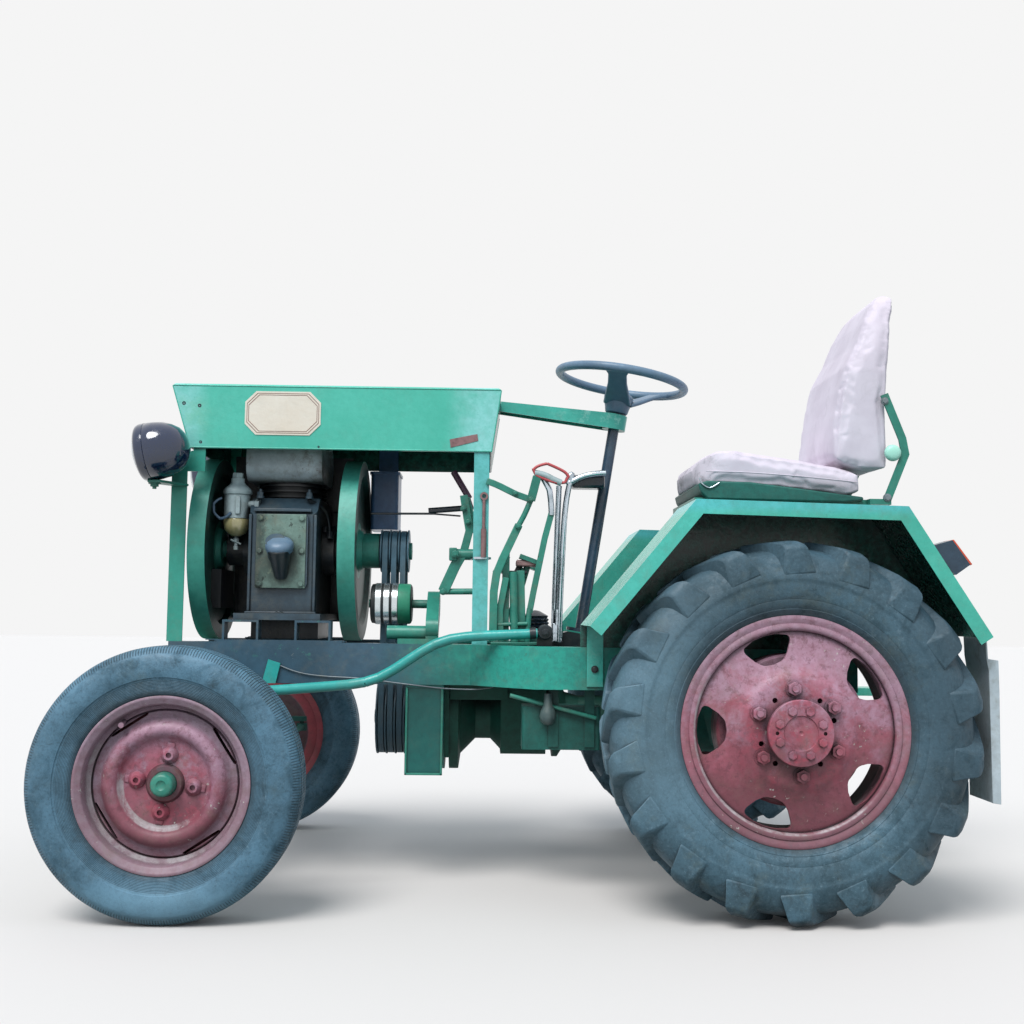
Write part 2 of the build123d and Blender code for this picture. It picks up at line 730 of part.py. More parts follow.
# ---------------------------------------------------------------- air cleaner box
air_low, air_high = crank_z + 70, crank_z + flywheel_r - 24
with BuildPart() as air_box:
    with BuildSketch(Plane.XY.offset(air_low)):
        with Locations((rear_x + 1052, -172)):
            RectangleRounded(84, 140, 12)
    extrude(amount=air_high - air_low)
    with BuildSketch(Plane.XY.offset(air_high)):
        with Locations((rear_x + 1052, -172)):
            RectangleRounded(92, 148, 14)
    extrude(amount=8)
    with BuildSketch(at_y(-inside_y)):
        with Locations((rear_x + 1052, 1195)):
            Rectangle(60, 90)
    extrude(amount=-6)
save(air_box, "air_cleaner")

# ---------------------------------------------------------------- steering
wheel_x, wheel_z = rear_x + 345, 1426
foot_x, foot_z = rear_x + 463, 680
column_len = hypot(wheel_x - foot_x, wheel_z - foot_z)
column_dir = ((wheel_x - foot_x) / column_len, 0, (wheel_z - foot_z) / column_len)
column_r, shaft_r, wheel_r, wheel_rim_r = 16, 10, 200, 13
wheel_drop = 62                  # hub below the rim


def on_column(along):
    """The point at this distance up the column from its foot."""
    return (foot_x + column_dir[0] * along, 0, foot_z + column_dir[2] * along)


column_top = column_len - wheel_drop - 30
with BuildPart() as column:
    add(turned([(0, 0), (0, 42), (10, 42), (10, column_r), (column_top, column_r),
                (column_top, shaft_r + running_fit), (column_top - 80, shaft_r + running_fit),
                (column_top - 80, 0)], on_column(0), column_dir))
save(column, "steering_column")

with BuildPart() as steering_wheel:
    hub = turned([(column_top - 78, 0), (column_top - 78, shaft_r), (column_top + 4, shaft_r),
                  (column_top + 4, 26), (column_top + 20, 34), (column_top + 50, 34),
                  (column_top + 58, 26), (column_top + 58, 0)], on_column(0), column_dir)
    add(hub)
    rim_plane = Plane(on_column(column_len), x_dir=(0, 1, 0), z_dir=column_dir)
    rim_profile = [
        (wheel_r - wheel_rim_r + wheel_rim_r * cos(radians(a)), wheel_rim_r * sin(radians(a)))
        for a in range(30, 390, 60)
    ]
    add(faceted(rim_profile, 36).moved(rim_plane.location))
    for turn in (90, 210, 330):
        out = rim_plane.x_dir * cos(radians(turn)) + rim_plane.y_dir * sin(radians(turn))
        low = rim_plane.origin - rim_plane.z_dir * wheel_drop + out * 20
        high = rim_plane.origin + out * (wheel_r - wheel_rim_r)
        add(tube([low, low + out * 60, high], 8))
save(steering_wheel, "steering_wheel")

support_end = on_column((1300 - foot_z) / column_dir[2])
end_x, wall_x = support_end[0], hood_rear + slant_rear * (hood_top - 1325) / (hood_top - hood_bottom)
support_half, clamp_half = 32, 22
with BuildPart() as column_support:
    with BuildSketch(at_y(-support_half)):
        Polygon((wall_x, 1325), (hood_rear, hood_top), (end_x, 1324), (end_x, 1278), align=None)
    extrude(amount=-2 * support_half)
    with BuildSketch(at_y(sheet - support_half)):
        Polygon((wall_x, 1300), (hood_rear, hood_top - sheet), (end_x, 1324 - sheet), (end_x, 1240),
                align=None)
    extrude(amount=2 * (sheet - support_half), mode=Mode.SUBTRACT)
    add(turned([(-clamp_half, 0), (-clamp_half, 34), (clamp_half, 34), (clamp_half, 0)],
               support_end, column_dir))
    add(turned([(-60, 0), (-60, column_r), (60, column_r), (60, 0)], support_end, column_dir),
        mode=Mode.SUBTRACT)
save(column_support, "column_support")

with BuildPart() as steering_box:
    with BuildSketch(at_y(-62)):
        Polygon(
            (foot_x - 60, 560), (foot_x - 48, 668), (foot_x + 40, 682), (foot_x + 150, 650),
            (foot_x + 164, box_top), (foot_x + 104, box_top), (foot_x + 90, 548),
            align=None,
        )
    extrude(amount=-124)
    add(turned([(30, 0), (30, 34), (96, 34), (96, 0)], (steer_box_x, 0, drop_shaft_z), (0, 1, 0)))
    with Locations(Plane((steer_box_x, 110, drop_shaft_z), x_dir=(1, 0, 0), z_dir=(0, 1, 0))):
        Hole(18 + running_fit, 120)
save(steering_box, "steering_box")

link_y = 330
ball_z = drop_shaft_z + drop_arm_len
with BuildPart() as drop_arm:
    add(turned([(62, 0), (62, 18), (306, 18), (306, 0)], (steer_box_x, 0, drop_shaft_z), (0, 1, 0)))
    with BuildSketch(at_y(link_y - 36)):
        with Locations((steer_box_x, drop_shaft_z)):
            Circle(28)
        with Locations((steer_box_x, ball_z)):
            Circle(18)
        make_hull()
    extrude(amount=-18)
    add(turned([(link_y - 20, 0), (link_y - 20, 9), (link_y + 17, 9), (link_y + 17, 0)],
               (steer_box_x, 0, ball_z), (0, 1, 0)))
save(drop_arm, "drop_arm")

king_x = front_x
socket_z = king_top + 22
link_route = [
    (steer_box_x + 20, link_y, ball_z),
    (rear_x + 765, link_y, ball_z + 1),
    (rear_x + 990, link_y, 560),
    (rear_x + 1229, link_y, 531),
    (rear_x + 1360, link_y + 20, 522),
    (king_x - 14, king_y - steer_arm, socket_z + 6),
]
with BuildPart() as drag_link:
    add(tube(link_route, 9))
    add(turned([(link_y - 14, 9 + running_fit), (link_y - 14, 21), (link_y + 14, 21),
                (link_y + 14, 9 + running_fit)], (steer_box_x, 0, ball_z), (0, 1, 0)))
    with Locations((king_x, king_y - steer_arm, socket_z + 6)):
        Cylinder(18, 28)
save(drag_link, "drag_link")

# ---------------------------------------------------------------- battery box, drawbar
with BuildPart() as battery_box:
    with BuildSketch(Plane.XY.offset(377)):
        with Locations((rear_x + 538, rail_wide_y - 110)):
            RectangleRounded(207, 118, 8)
    extrude(amount=112)
    for x in (rear_x + 465, rear_x + 560):
        with BuildSketch(at_y(rail_wide_y - 51)):
            with Locations((x, (385 + rail_bottom) / 2)):
                Rectangle(26, rail_bottom - 385)
        extrude(amount=-5)
save(battery_box, "battery_box")

pin_r = 14
with BuildPart() as drawbar:
    with BuildSketch(Plane.XY.offset(rail_bottom - 30)) as bar:
        with Locations(((rail_rear + tail_x + 14) / 2 + 30, 0)):
            Rectangle(rail_rear - tail_x - 14 + 60, 90)
        fillet(bar.vertices().group_by(Axis.X)[0], 40)
    extrude(amount=22)
    with BuildSketch(Plane.XY.offset(rail_bottom - 8)):
        with Locations((rail_rear + 50, 0)):
            Rectangle(90, 2 * (rail_wide_y - rail_t))
    extrude(amount=8)
    with Locations((tail_x + 60, 0, rail_bottom - 8)):
        Hole(pin_r, 60)
save(drawbar, "drawbar")

# ---------------------------------------------------------------- fenders, flaps, lamps
fender_in, fender_out, lip = 400, 700, 35
fender_path = [
    (rear_x + 493, 704), (rear_x + 239, 1011), (rear_x - 273, 1000), (rear_x - 472, 689),
]
with BuildPart() as fender:
    with BuildSketch(at_y(fender_in)):
        Polygon(*band(fender_path, sheet), align=None)
    extrude(amount=fender_in - fender_out)
    with BuildSketch(at_y(fender_out - sheet)):
        Polygon(*band(fender_path, lip), align=None)
    extrude(amount=-sheet)
    with BuildSketch(at_y(fender_in)):
        Polygon(*fender_path, (rear_x - 472, rail_top + 2), (rear_x - 240, rail_top + 2),
                (rear_x - 230, rail_top), (rear_x + 493, rail_top), align=None)
    extrude(amount=-sheet)
    # Foot bracket on the rail's outer face
    with BuildSketch(at_y(rail_wide_y)):
        with Locations((rear_x + 456, 624)):
            Rectangle(42, 158)
    extrude(amount=-6)
save_pair(fender, "fender")

with BuildPart() as flap:
    with BuildSketch(at_y(505)):
        Polygon(
            (rear_x - 472, 700), (rear_x - 480, 700), (rear_x - 492, 632), (tail_x, 628),
            (tail_x + 6, 284), (tail_x + 14, 284), (tail_x + 16, 610), (rear_x - 474, 622),
            align=None,
        )
    extrude(amount=-146)
save_both(flap, "mud_flaps")

with BuildPart() as rear_lamp:
    with BuildSketch(at_y(470)):
        Polygon(
            (rear_x - 464, 933), (rear_x - 380, 920), (rear_x - 372, 845), (rear_x - 462, 838),
            (rear_x - 490, 861), (rear_x - 490, 915),
            align=None,
        )
    extrude(amount=-70)
    with BuildSketch(at_y(490)):
        Polygon((rear_x - 380, 900), (rear_x - 338, 900), (rear_x - 346, 888), (rear_x - 380, 888),
                align=None)
    extrude(amount=-30)
save_both(rear_lamp, "rear_lamps")

# ---------------------------------------------------------------- seat
seat_half, bar_t = 225, 6
with BuildPart() as seat_pan:
    with BuildSketch(at_y(-200)):
        Polygon(
            (rear_x + 160, 1062), (rear_x - 328, 1062), (rear_x - 328, 1046), (rear_x + 120, 1030),
            (rear_x + 160, 1046),
            align=None,
        )
    extrude(amount=-400)
    with BuildSketch(Plane.XY.offset(rail_top)):
        with Locations((rear_x - 60, 0)):
            Rectangle(200, 2 * (fender_in - 4))
    extrude(amount=8)
    for side in (1, -1):
        with BuildSketch(at_y(side * 150)):
            Polygon((rear_x + 20, rail_top + 8), (rear_x + 90, 1040), (rear_x - 230, 1050),
                    (rear_x - 140, rail_top + 8), align=None)
        extrude(amount=6)
    # Cross bar behind the pan, and a bent bar up each side of the back
    with Locations((rear_x - 355, 0, 1054)):
        Box(60, 2 * (seat_half + bar_t), 16)
    for side in (1, -1):
        with BuildSketch(at_y(side * seat_half)):
            Polygon(
                *band([(rear_x - 359, 1353), (rear_x - 408, 1229), (rear_x - 415, 1190),
                       (rear_x - 360, 1054)], -22),
                align=None,
            )
        extrude(amount=-side * bar_t)
save(seat_pan, "seat_frame")

# Where the back rests on the cushion
rest_line = [(rear_x - 229, 1161), (rear_x - 258, 1156), (rear_x - 311, 1141)]
with BuildPart() as cushion:
    with BuildSketch(at_y(-seat_half)):
        Polygon(
            (rear_x - 311, 1063), (rear_x + 150, 1063), (rear_x + 168, 1092), (rear_x + 166, 1140),
            (rear_x + 148, 1172), (rear_x + 110, 1198), (rear_x + 50, 1202), (rear_x - 143, 1175),
            *rest_line,
            align=None,
        )
    extrude(amount=-2 * seat_half)
    chamfer(cushion.edges().filter_by(Axis.X).group_by(Axis.Z)[0], 12)
save(cushion, "seat_cushion")

with BuildPart() as seat_back:
    with BuildSketch(at_y(-seat_half)):
        Polygon(
            (rear_x - 375, 1141), (rear_x - 375, 1367), (rear_x - 379, 1426), (rear_x - 399, 1581),
            (rear_x - 430, 1651), (rear_x - 421, 1675), (rear_x - 364, 1640), (rear_x - 332, 1584),
            (rear_x - 304, 1507), (rear_x - 268, 1440), (rear_x - 251, 1370), (rear_x - 238, 1290),
            *rest_line,
            align=None,
        )
    extrude(amount=-2 * seat_half)
    # Both top corners taken off
    with BuildSketch(Plane.YZ.offset(tail_x)):
        for side in (1, -1):
            Polygon((side * (seat_half + 1), 1676), (side * 60, 1676), (side * 125, 1642),
                    (side * 190, 1570), (side * (seat_half + 1), 1470), align=None)
    extrude(amount=rear_overhang, mode=Mode.SUBTRACT)
save(seat_back, "seat_back")

# ---------------------------------------------------------------- floor, pedals, levers
with BuildPart() as floor_plate:
    with BuildSketch(Plane.XY.offset(rail_top)):
        with Locations((rear_x + 300, 0)):
            Rectangle(300, 2 * (rail_wide_y - 20))
        with Locations((rear_x + 440, 0)):
            Rectangle(80, 124, mode=Mode.SUBTRACT)
    extrude(amount=6)
save(floor_plate, "floor_plate")

pedal_rod_x, pedal_rod_z, pedal_y = rear_x + 646, 572, 185
with BuildPart() as pedals:
    for side in (1, -1):
        y = side * pedal_y
        add(tube([(pedal_rod_x, y, pedal_rod_z), (pedal_rod_x + 15, y, 740), (rear_x + 624, y, 872)], 9))
        with Locations(Location((rear_x + 617, y, 880), (0, -20, 0))):
            Box(66, 64, 12)
        with BuildSketch(at_y(side * 70 - 6)):
            with Locations((pedal_rod_x, (box_top + pedal_rod_z) / 2)):
                Rectangle(24, pedal_rod_z - box_top)
        extrude(amount=-12)
    add(tube([(pedal_rod_x, -pedal_y - 16, pedal_rod_z), (pedal_rod_x, pedal_y + 16, pedal_rod_z)], 11))
save(pedals, "pedals")

# Gear levers and the bent tubes beside the column
with BuildPart() as levers:
    add(tube([(rear_x + 620, 250, rail_top - 4), (rear_x + 563, 250, 1044), (rear_x + 582, 250, 1095)], 8))
    add(tube([(rear_x + 724, 242, 1080), (rear_x + 640, 246, 1040), (rear_x + 582, 250, 1090)], 9))
    with Locations(Location((rear_x + 572, 250, 1116), (90, 0, 0))):
        with BuildSketch(Plane((rear_x + 572, 242, 1116), x_dir=(1, 0, 0), z_dir=(0, 1, 0))):
            Ellipse(34, 21)
            Ellipse(22, 10, mode=Mode.SUBTRACT)
        extrude(amount=16)
    with BuildSketch(Plane.XY.offset(rail_top - 10)):
        with Locations((rear_x + 620, 250)):
            Rectangle(40, 60)
    extrude(amount=6)
save(levers, "gear_levers")

hand_r = 8.5
with BuildPart() as hand_pipes:
    add(tube([(rear_x + 532, 106, rail_top + 6), (rear_x + 513, 106, 1137),
              (rear_x + 400, 100, 1139)], hand_r, 40))
    add(tube([(rear_x + 546, 90, rail_top + 6), (rear_x + 534, 90, 1100)], hand_r))
save(hand_pipes, "hand_rail")

linkage_y = 190
with BuildPart() as linkage:
    add(tube([(rear_x + 834, linkage_y, 905), (rear_post_x + 12, linkage_y, 900)], 12))
    add(tube([(rear_x + 855, linkage_y, 790), (rear_post_x + 12, linkage_y, 795)], 9))
    for z in (900, 795):
        with Locations((rear_post_x + 20, (linkage_y + inside_y - post) / 2, z)):
            Box(24, inside_y - post - linkage_y, 22)
    with BuildSketch(at_y(linkage_y - 8)):
        with Locations((rear_x + 800, 940), (rear_x + 826, 905), (rear_x + 858, 790)):
            Circle(13)
        make_hull()
    extrude(amount=-8)
save(linkage, "lever_linkage")
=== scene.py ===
import json
from math import cos, pi, radians, sin

import bpy
from mathutils import Matrix, Vector


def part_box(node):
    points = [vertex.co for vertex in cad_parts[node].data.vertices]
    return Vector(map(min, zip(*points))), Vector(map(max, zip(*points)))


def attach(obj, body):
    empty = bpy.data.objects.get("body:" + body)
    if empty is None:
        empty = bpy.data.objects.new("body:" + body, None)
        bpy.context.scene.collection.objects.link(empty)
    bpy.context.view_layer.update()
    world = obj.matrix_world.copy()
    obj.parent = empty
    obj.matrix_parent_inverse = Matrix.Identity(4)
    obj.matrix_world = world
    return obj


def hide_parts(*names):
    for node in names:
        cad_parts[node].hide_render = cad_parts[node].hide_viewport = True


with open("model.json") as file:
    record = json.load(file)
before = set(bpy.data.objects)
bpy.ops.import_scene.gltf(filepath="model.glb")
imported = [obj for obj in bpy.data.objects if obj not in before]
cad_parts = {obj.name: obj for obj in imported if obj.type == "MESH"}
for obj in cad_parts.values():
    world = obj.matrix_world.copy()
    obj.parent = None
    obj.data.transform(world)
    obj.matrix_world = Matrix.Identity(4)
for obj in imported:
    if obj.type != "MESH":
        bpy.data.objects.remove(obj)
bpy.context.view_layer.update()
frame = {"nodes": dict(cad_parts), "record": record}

# A home-built farm tractor, in metres: +X forward, +Y its left side, +Z up.
X, Y, Z = Vector((1, 0, 0)), Vector((0, 1, 0)), Vector((0, 0, 1))
down = -Z
crank_height = 0.910
idler_centre = (0.4165, 0.13277, 0.755)
filter_axis = Vector((0.8020, 0.130, 0))


# ================================================================ modelling by hand
def deselect():
    """Lets go of everything, as each operator acts on all that is selected."""
    bpy.ops.object.select_all(action="DESELECT")


def pick(*pieces):
    """Selects these pieces alone, the first one active."""
    deselect()
    for piece in pieces:
        piece.select_set(True)
    bpy.context.view_layer.objects.active = pieces[0]


def mode(name):
    """Switches between object and edit mode."""
    bpy.ops.object.mode_set(mode=name)


def named(name):
    """Names the piece just added."""
    piece = bpy.context.active_object
    piece.name = piece.data.name = name
    return piece


def settle(piece, smooth=35):
    """Leaves edit mode, puts the piece's place into its mesh and shades it."""
    if piece.mode == "EDIT":
        mode("OBJECT")
    pick(piece)
    bpy.ops.object.transform_apply(location=True, rotation=True, scale=True)
    if smooth:
        bpy.ops.object.shade_smooth_by_angle(angle=radians(smooth))
    return piece


def chain(name, points, closed=False):
    """Edges through points, extruded one by one and left selected in edit mode."""
    deselect()
    bpy.ops.mesh.primitive_plane_add(size=0.001, location=points[0])
    piece = named(name)
    mode("EDIT")
    bpy.ops.mesh.select_mode(type="VERT")
    bpy.ops.mesh.merge(type="CENTER")
    at = Vector(points[0])
    for point in points[1:]:
        step = Vector(point) - at
        bpy.ops.mesh.extrude_vertices_move(TRANSFORM_OT_translate={"value": step})
        at += step
    bpy.ops.mesh.select_all(action="SELECT")
    if closed:
        bpy.ops.mesh.edge_face_add()
    return piece


def clean_up():
    """Merges doubles and turns every face outwards, in edit mode."""
    bpy.ops.mesh.select_all(action="SELECT")
    bpy.ops.mesh.remove_doubles(threshold=1e-5)
    bpy.ops.mesh.normals_make_consistent(inside=False)


def lathe(name, profile, centre, along, steps=64, smooth=35, across=None):
    """A turned piece: profile is (along the axis, radius), both from centre."""
    along = Vector(along).normalized()
    across = across or along.orthogonal().normalized()
    centre = Vector(centre)
    piece = chain(name, [centre + along * a + across * r for a, r in profile])
    bpy.ops.mesh.spin(steps=steps, angle=2 * pi, center=centre, axis=along)
    clean_up()
    return settle(piece, smooth)


def slab(name, outline, thickness, smooth=35):
    """A flat outline pulled out to a thickness, which is a vector."""
    piece = chain(name, outline, closed=True)
    bpy.ops.mesh.extrude_region_move(TRANSFORM_OT_translate={"value": Vector(thickness)})
    clean_up()
    return settle(piece, smooth)


def block(name, low, high, turn=(0, 0, 0)):
    """A box between two corners."""
    low, high = Vector(low), Vector(high)
    deselect()
    bpy.ops.mesh.primitive_cube_add(
        size=1, location=(low + high) / 2, scale=high - low, rotation=turn)
    return settle(named(name))


def rod(name, start, end, radius, sides=24, tip=None):
    """A straight round bar, tapered to tip where that is given."""
    start, end = Vector(start), Vector(end)
    run = end - start
    deselect()
    bpy.ops.mesh.primitive_cone_add(
        vertices=sides, radius1=radius, radius2=radius if tip is None else tip,
        depth=run.length, location=(start + end) / 2,
        rotation=run.to_track_quat("Z", "Y").to_euler())
    return settle(named(name))


def pipe(name, points, radius, ease=0.03, sides=3, closed=False):
    """A round bar bent through points, its bends starting ease before each corner."""
    points = [Vector(p) for p in points]
    path = [points[0]]
    for before, corner, after in zip(points, points[1:], points[2:]):
        path.append(corner + (before - corner).normalized() * ease)
        path.append(corner + (after - corner).normalized() * ease)
    path.append(points[-1])
    deselect()
    bpy.ops.curve.primitive_nurbs_path_add(radius=1)
    piece = named(name)
    curve = piece.data
    curve.splines.clear()
    spline = curve.splines.new("NURBS")
    spline.points.add(len(path) - 1)
    for knot, place in zip(spline.points, path):
        knot.co = (*place, 1)
    spline.order_u = 3
    spline.use_endpoint_u = True
    spline.use_cyclic_u = closed
    curve.bevel_depth = radius
    curve.bevel_resolution = sides
    curve.resolution_u = 6
    curve.use_fill_caps = True
    pick(piece)
    bpy.ops.object.convert(target="MESH")
    return settle(bpy.context.active_object, 50)


def modify(piece, kind, **settings):
    """Adds one modifier and applies it."""
    pick(piece)
    bpy.ops.object.modifier_add(type=kind)
    modifier = piece.modifiers[-1]
    for key, value in settings.items():
        setattr(modifier, key, value)
    bpy.ops.object.modifier_apply(modifier=modifier.name)
    return piece


def bevel(piece, width, segments=2, angle=30):
    """Rounds the edges that are sharper than an angle."""
    modify(piece, "BEVEL", width=width, segments=segments, limit_method="ANGLE",
           angle_limit=radians(angle))
    return settle(piece)


def cut(piece, *cutters):
    """Takes the cutters' shapes out of a piece."""
    for cutter in cutters:
        modify(piece, "BOOLEAN", operation="DIFFERENCE", object=cutter, solver="EXACT")
        bpy.data.objects.remove(cutter)
    return settle(piece)


def copy_of(piece, matrix, name=None):
    """A copy with its own mesh, moved by matrix."""
    twin = piece.copy()
    twin.data = piece.data.copy()
    twin.name = twin.data.name = name or piece.name
    bpy.context.scene.collection.objects.link(twin)
    twin.data.transform(matrix)
    if matrix.determinant() < 0:
        twin.data.flip_normals()
    return twin


def turn_about(centre, along, angle):
    """The matrix that turns by angle degrees about an axis."""
    centre = Vector(centre)
    return (Matrix.Translation(centre) @ Matrix.Rotation(radians(angle), 4, along)
            @ Matrix.Translation(-centre))


def around(piece, angles, centre, along):
    """The piece and its copies, turned about an axis to each of the angles."""
    ring = [copy_of(piece, turn_about(centre, along, a)) for a in angles]
    bpy.data.objects.remove(piece)
    return ring


def join(name, *pieces):
    """Makes one piece of pieces and lists of pieces."""
    pieces = [p for group in pieces for p in (group if isinstance(group, list) else [group])]
    pick(*pieces)
    if len(pieces) > 1:
        bpy.ops.object.join()
    return named(name)


def mirror_image(piece, name):
    """The same piece on the tractor's right side."""
    return copy_of(piece, Matrix.Scale(-1, 4, Y), name)


def choose(piece, test):
    """In edit mode, selects the vertices whose place passes the test."""
    mode("OBJECT")
    for vertex in piece.data.vertices:
        vertex.select = test(vertex.co)
    for edge in piece.data.edges:
        edge.select = False
    for face in piece.data.polygons:
        face.select = False
    mode("EDIT")
    bpy.ops.mesh.select_mode(type="VERT")


def fit(piece, finish, body, slot, *stands_for):
    """Paints a finished piece and hangs it on its body."""
    piece.data.materials.clear()
    piece.data.materials.append(finish)
    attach(piece, body)
    if stands_for:
        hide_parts(*stands_for)
    return piece


# ================================================================ finishes
class Socket:
    """A shader output on which Python's operators add Math nodes."""

    def __init__(self, finish, output):
        self.finish, self.output = finish, output

    def _maths(self, operation, first, second):
        return self.finish.add("ShaderNodeMath", {"operation": operation}, {0: first, 1: second})

    def __add__(self, other):
        return self._maths("ADD", self, other)

    def __radd__(self, other):
        return self._maths("ADD", other, self)

    def __sub__(self, other):
        return self._maths("SUBTRACT", self, other)

    def __rsub__(self, other):
        return self._maths("SUBTRACT", other, self)

    def __mul__(self, other):
        return self._maths("MULTIPLY", self, other)

    def __rmul__(self, other):
        return self._maths("MULTIPLY", other, self)

    def __pow__(self, other):
        return self._maths("POWER", self, other)

    def __abs__(self):
        return self.finish.add("ShaderNodeMath", {"operation": "ABSOLUTE"}, {0: self})


class Finish:
    """One material: add() places any node and returns its output."""

    def __init__(self, name, **plain):
        self.material = bpy.data.materials.new(name)
        self.material.use_nodes = True
        self.tree = self.material.node_tree
        self.shader = self.tree.nodes["Principled BSDF"]
        self.place = self.add("ShaderNodeTexCoord", out="Object")
        for socket, value in plain.items():
            self.set(socket.replace("_", " ").title(), value)

    def add(self, kind, settings=None, sockets=None, out=0):
        """Places one node with its settings and inputs, and gives back one output."""
        node = self.tree.nodes.new(kind)
        for key, value in (settings or {}).items():
            setattr(node, key, value)
        for key, value in (sockets or {}).items():
            self.feed(node.inputs[key], value)
        return Socket(self, node.outputs[out])

    def feed(self, socket, value):
        """Links an output to a socket, or sets the socket to a plain value."""
        if isinstance(value, Socket):
            self.tree.links.new(value.output, socket)
        else:
            socket.default_value = value

    def set(self, name, value):
        """Feeds one of the surface shader's own inputs."""
        self.feed(self.shader.inputs[name], value)

    def stretched(self, scale):
        """The place on the tractor, stretched by a scale for each axis."""
        return self.add("ShaderNodeMapping", {}, {"Vector": self.place, "Scale": scale})

    def noise(self, scale, detail=5, rough=0.6, place=None, warp=0.0):
        """Cloudy noise, its grains about one over scale metres wide."""
        return self.add("ShaderNodeTexNoise", {}, {
            "Vector": place or self.place, "Scale": scale, "Detail": detail,
            "Roughness": rough, "Distortion": warp})

    def cells(self, scale):
        """The distance to the nearest of many scattered points."""
        return self.add("ShaderNodeTexVoronoi", {}, {"Vector": self.place, "Scale": scale},
                        "Distance")

    def part(self, axis, place=None):
        """One coordinate of the place: X, Y or Z."""
        return self.add("ShaderNodeSeparateXYZ", {}, {"Vector": place or self.place}, axis)

    def ramp(self, value, low, high, start=0.0, end=1.0):
        """Smoothly from start at low to end at high."""
        return self.add("ShaderNodeMapRange", {"interpolation_type": "SMOOTHSTEP"}, {
            "Value": value, "From Min": low, "From Max": high, "To Min": start, "To Max": end})

    def blotches(self, low, high, *grain, **more):
        """Patches of noise, faded in between two of its levels."""
        return self.ramp(self.noise(*grain, **more), low, high)

    def mix(self, share, first, second):
        """Some share of the second colour laid over the first."""
        return self.add("ShaderNodeMix", {"data_type": "RGBA"}, {0: share, 6: first, 7: second}, 2)

    def corners(self, reach):
        """1 in corners and under bolts, 0 in the open: the mask for painted shade."""
        open_air = self.add("ShaderNodeAmbientOcclusion", {"samples": 4}, {"Distance": reach}, "AO")
        return self.ramp(open_air, 0.86, 0.30)

    def bump(self, height, distance, strength=1.0):
        """Fine relief from a height between 0 and 1, distance metres deep."""
        self.set("Normal", self.add("ShaderNodeBump", {}, {
            "Height": height, "Distance": distance, "Strength": strength}))


def colour(red, green, blue):
    """A colour as mixed on a 0 to 255 scale, for a shader."""
    parts = [c / 255 for c in (red, green, blue)]
    return (*[c / 12.92 if c <= 0.04045 else ((c + 0.055) / 1.055) ** 2.4 for c in parts], 1)


rust = (96, 62, 50)
dry_mud = colour(120, 116, 100)
# A black used for oil and soot, and for painted shade in corners.
oil_and_shade_black = colour(16, 20, 24)


def enamel(name, light, deep, chips=0.5, dust=0.3, corner_shade=0.5, gloss=0.35, second=None, metal=rust):
    """Brushed-on paint: uneven, chipped to metal, dusty on top, with painted shade darkening its
    corners.
    """
    f = Finish(name)
    light, deep, metal = colour(*light), colour(*deep), colour(*metal)
    patches = f.blotches(0.35, 0.68, 3.2, 6, 0.62)
    streaks = f.ramp(f.noise(9, 4, 0.7, f.stretched((1, 1, 0.18))), 0.35, 0.7)
    paint = f.mix(patches * 0.6 + streaks * 0.12, light, deep)
    if second is not None:
        paint = second(f, paint)
    mottle = f.blotches(0.3, 0.72, 55, 3, 0.6)
    paint = f.mix(mottle * 0.30, paint, deep)
    grit = f.noise(150, 4, 0.8)
    paint = f.mix(f.ramp(grit, 0.52, 0.70) * 0.30, paint, deep)
    paint = f.mix(f.ramp(grit, 0.46, 0.30) * 0.10, paint, light)
    dusty = f.blotches(0.46, 0.72, 14, 8, 0.72, warp=0.4) * dust
    paint = f.mix(dusty, paint, dry_mud)
    edge = f.noise(70, 6, 0.75)
    chipped = f.ramp(edge * 0.6 + f.noise(6, 5, 0.7) * 0.55,
                     0.78 - 0.12 * chips, 0.81 - 0.12 * chips)
    paint = f.mix(chipped * 0.9, paint, metal)
    # Painted shade: ambient occlusion darkens corners, gaps and the metal under bolts towards
    # black, by the given amount.
    dark = f.corners(0.060) * corner_shade
    paint = f.mix(dark, paint, oil_and_shade_black)
    f.set("Base Color", paint)
    f.set("Roughness", f.ramp(dusty * 0.7 + chipped * 0.6 + dark * 0.5 + mottle * 0.1,
                              0.0, 1.0, gloss, 0.85))
    f.bump(mottle * 0.3 + patches * 0.5 - chipped * 0.6 + f.noise(260, 2, 0.5) * 0.14, 0.0009, 0.7)
    return f.material


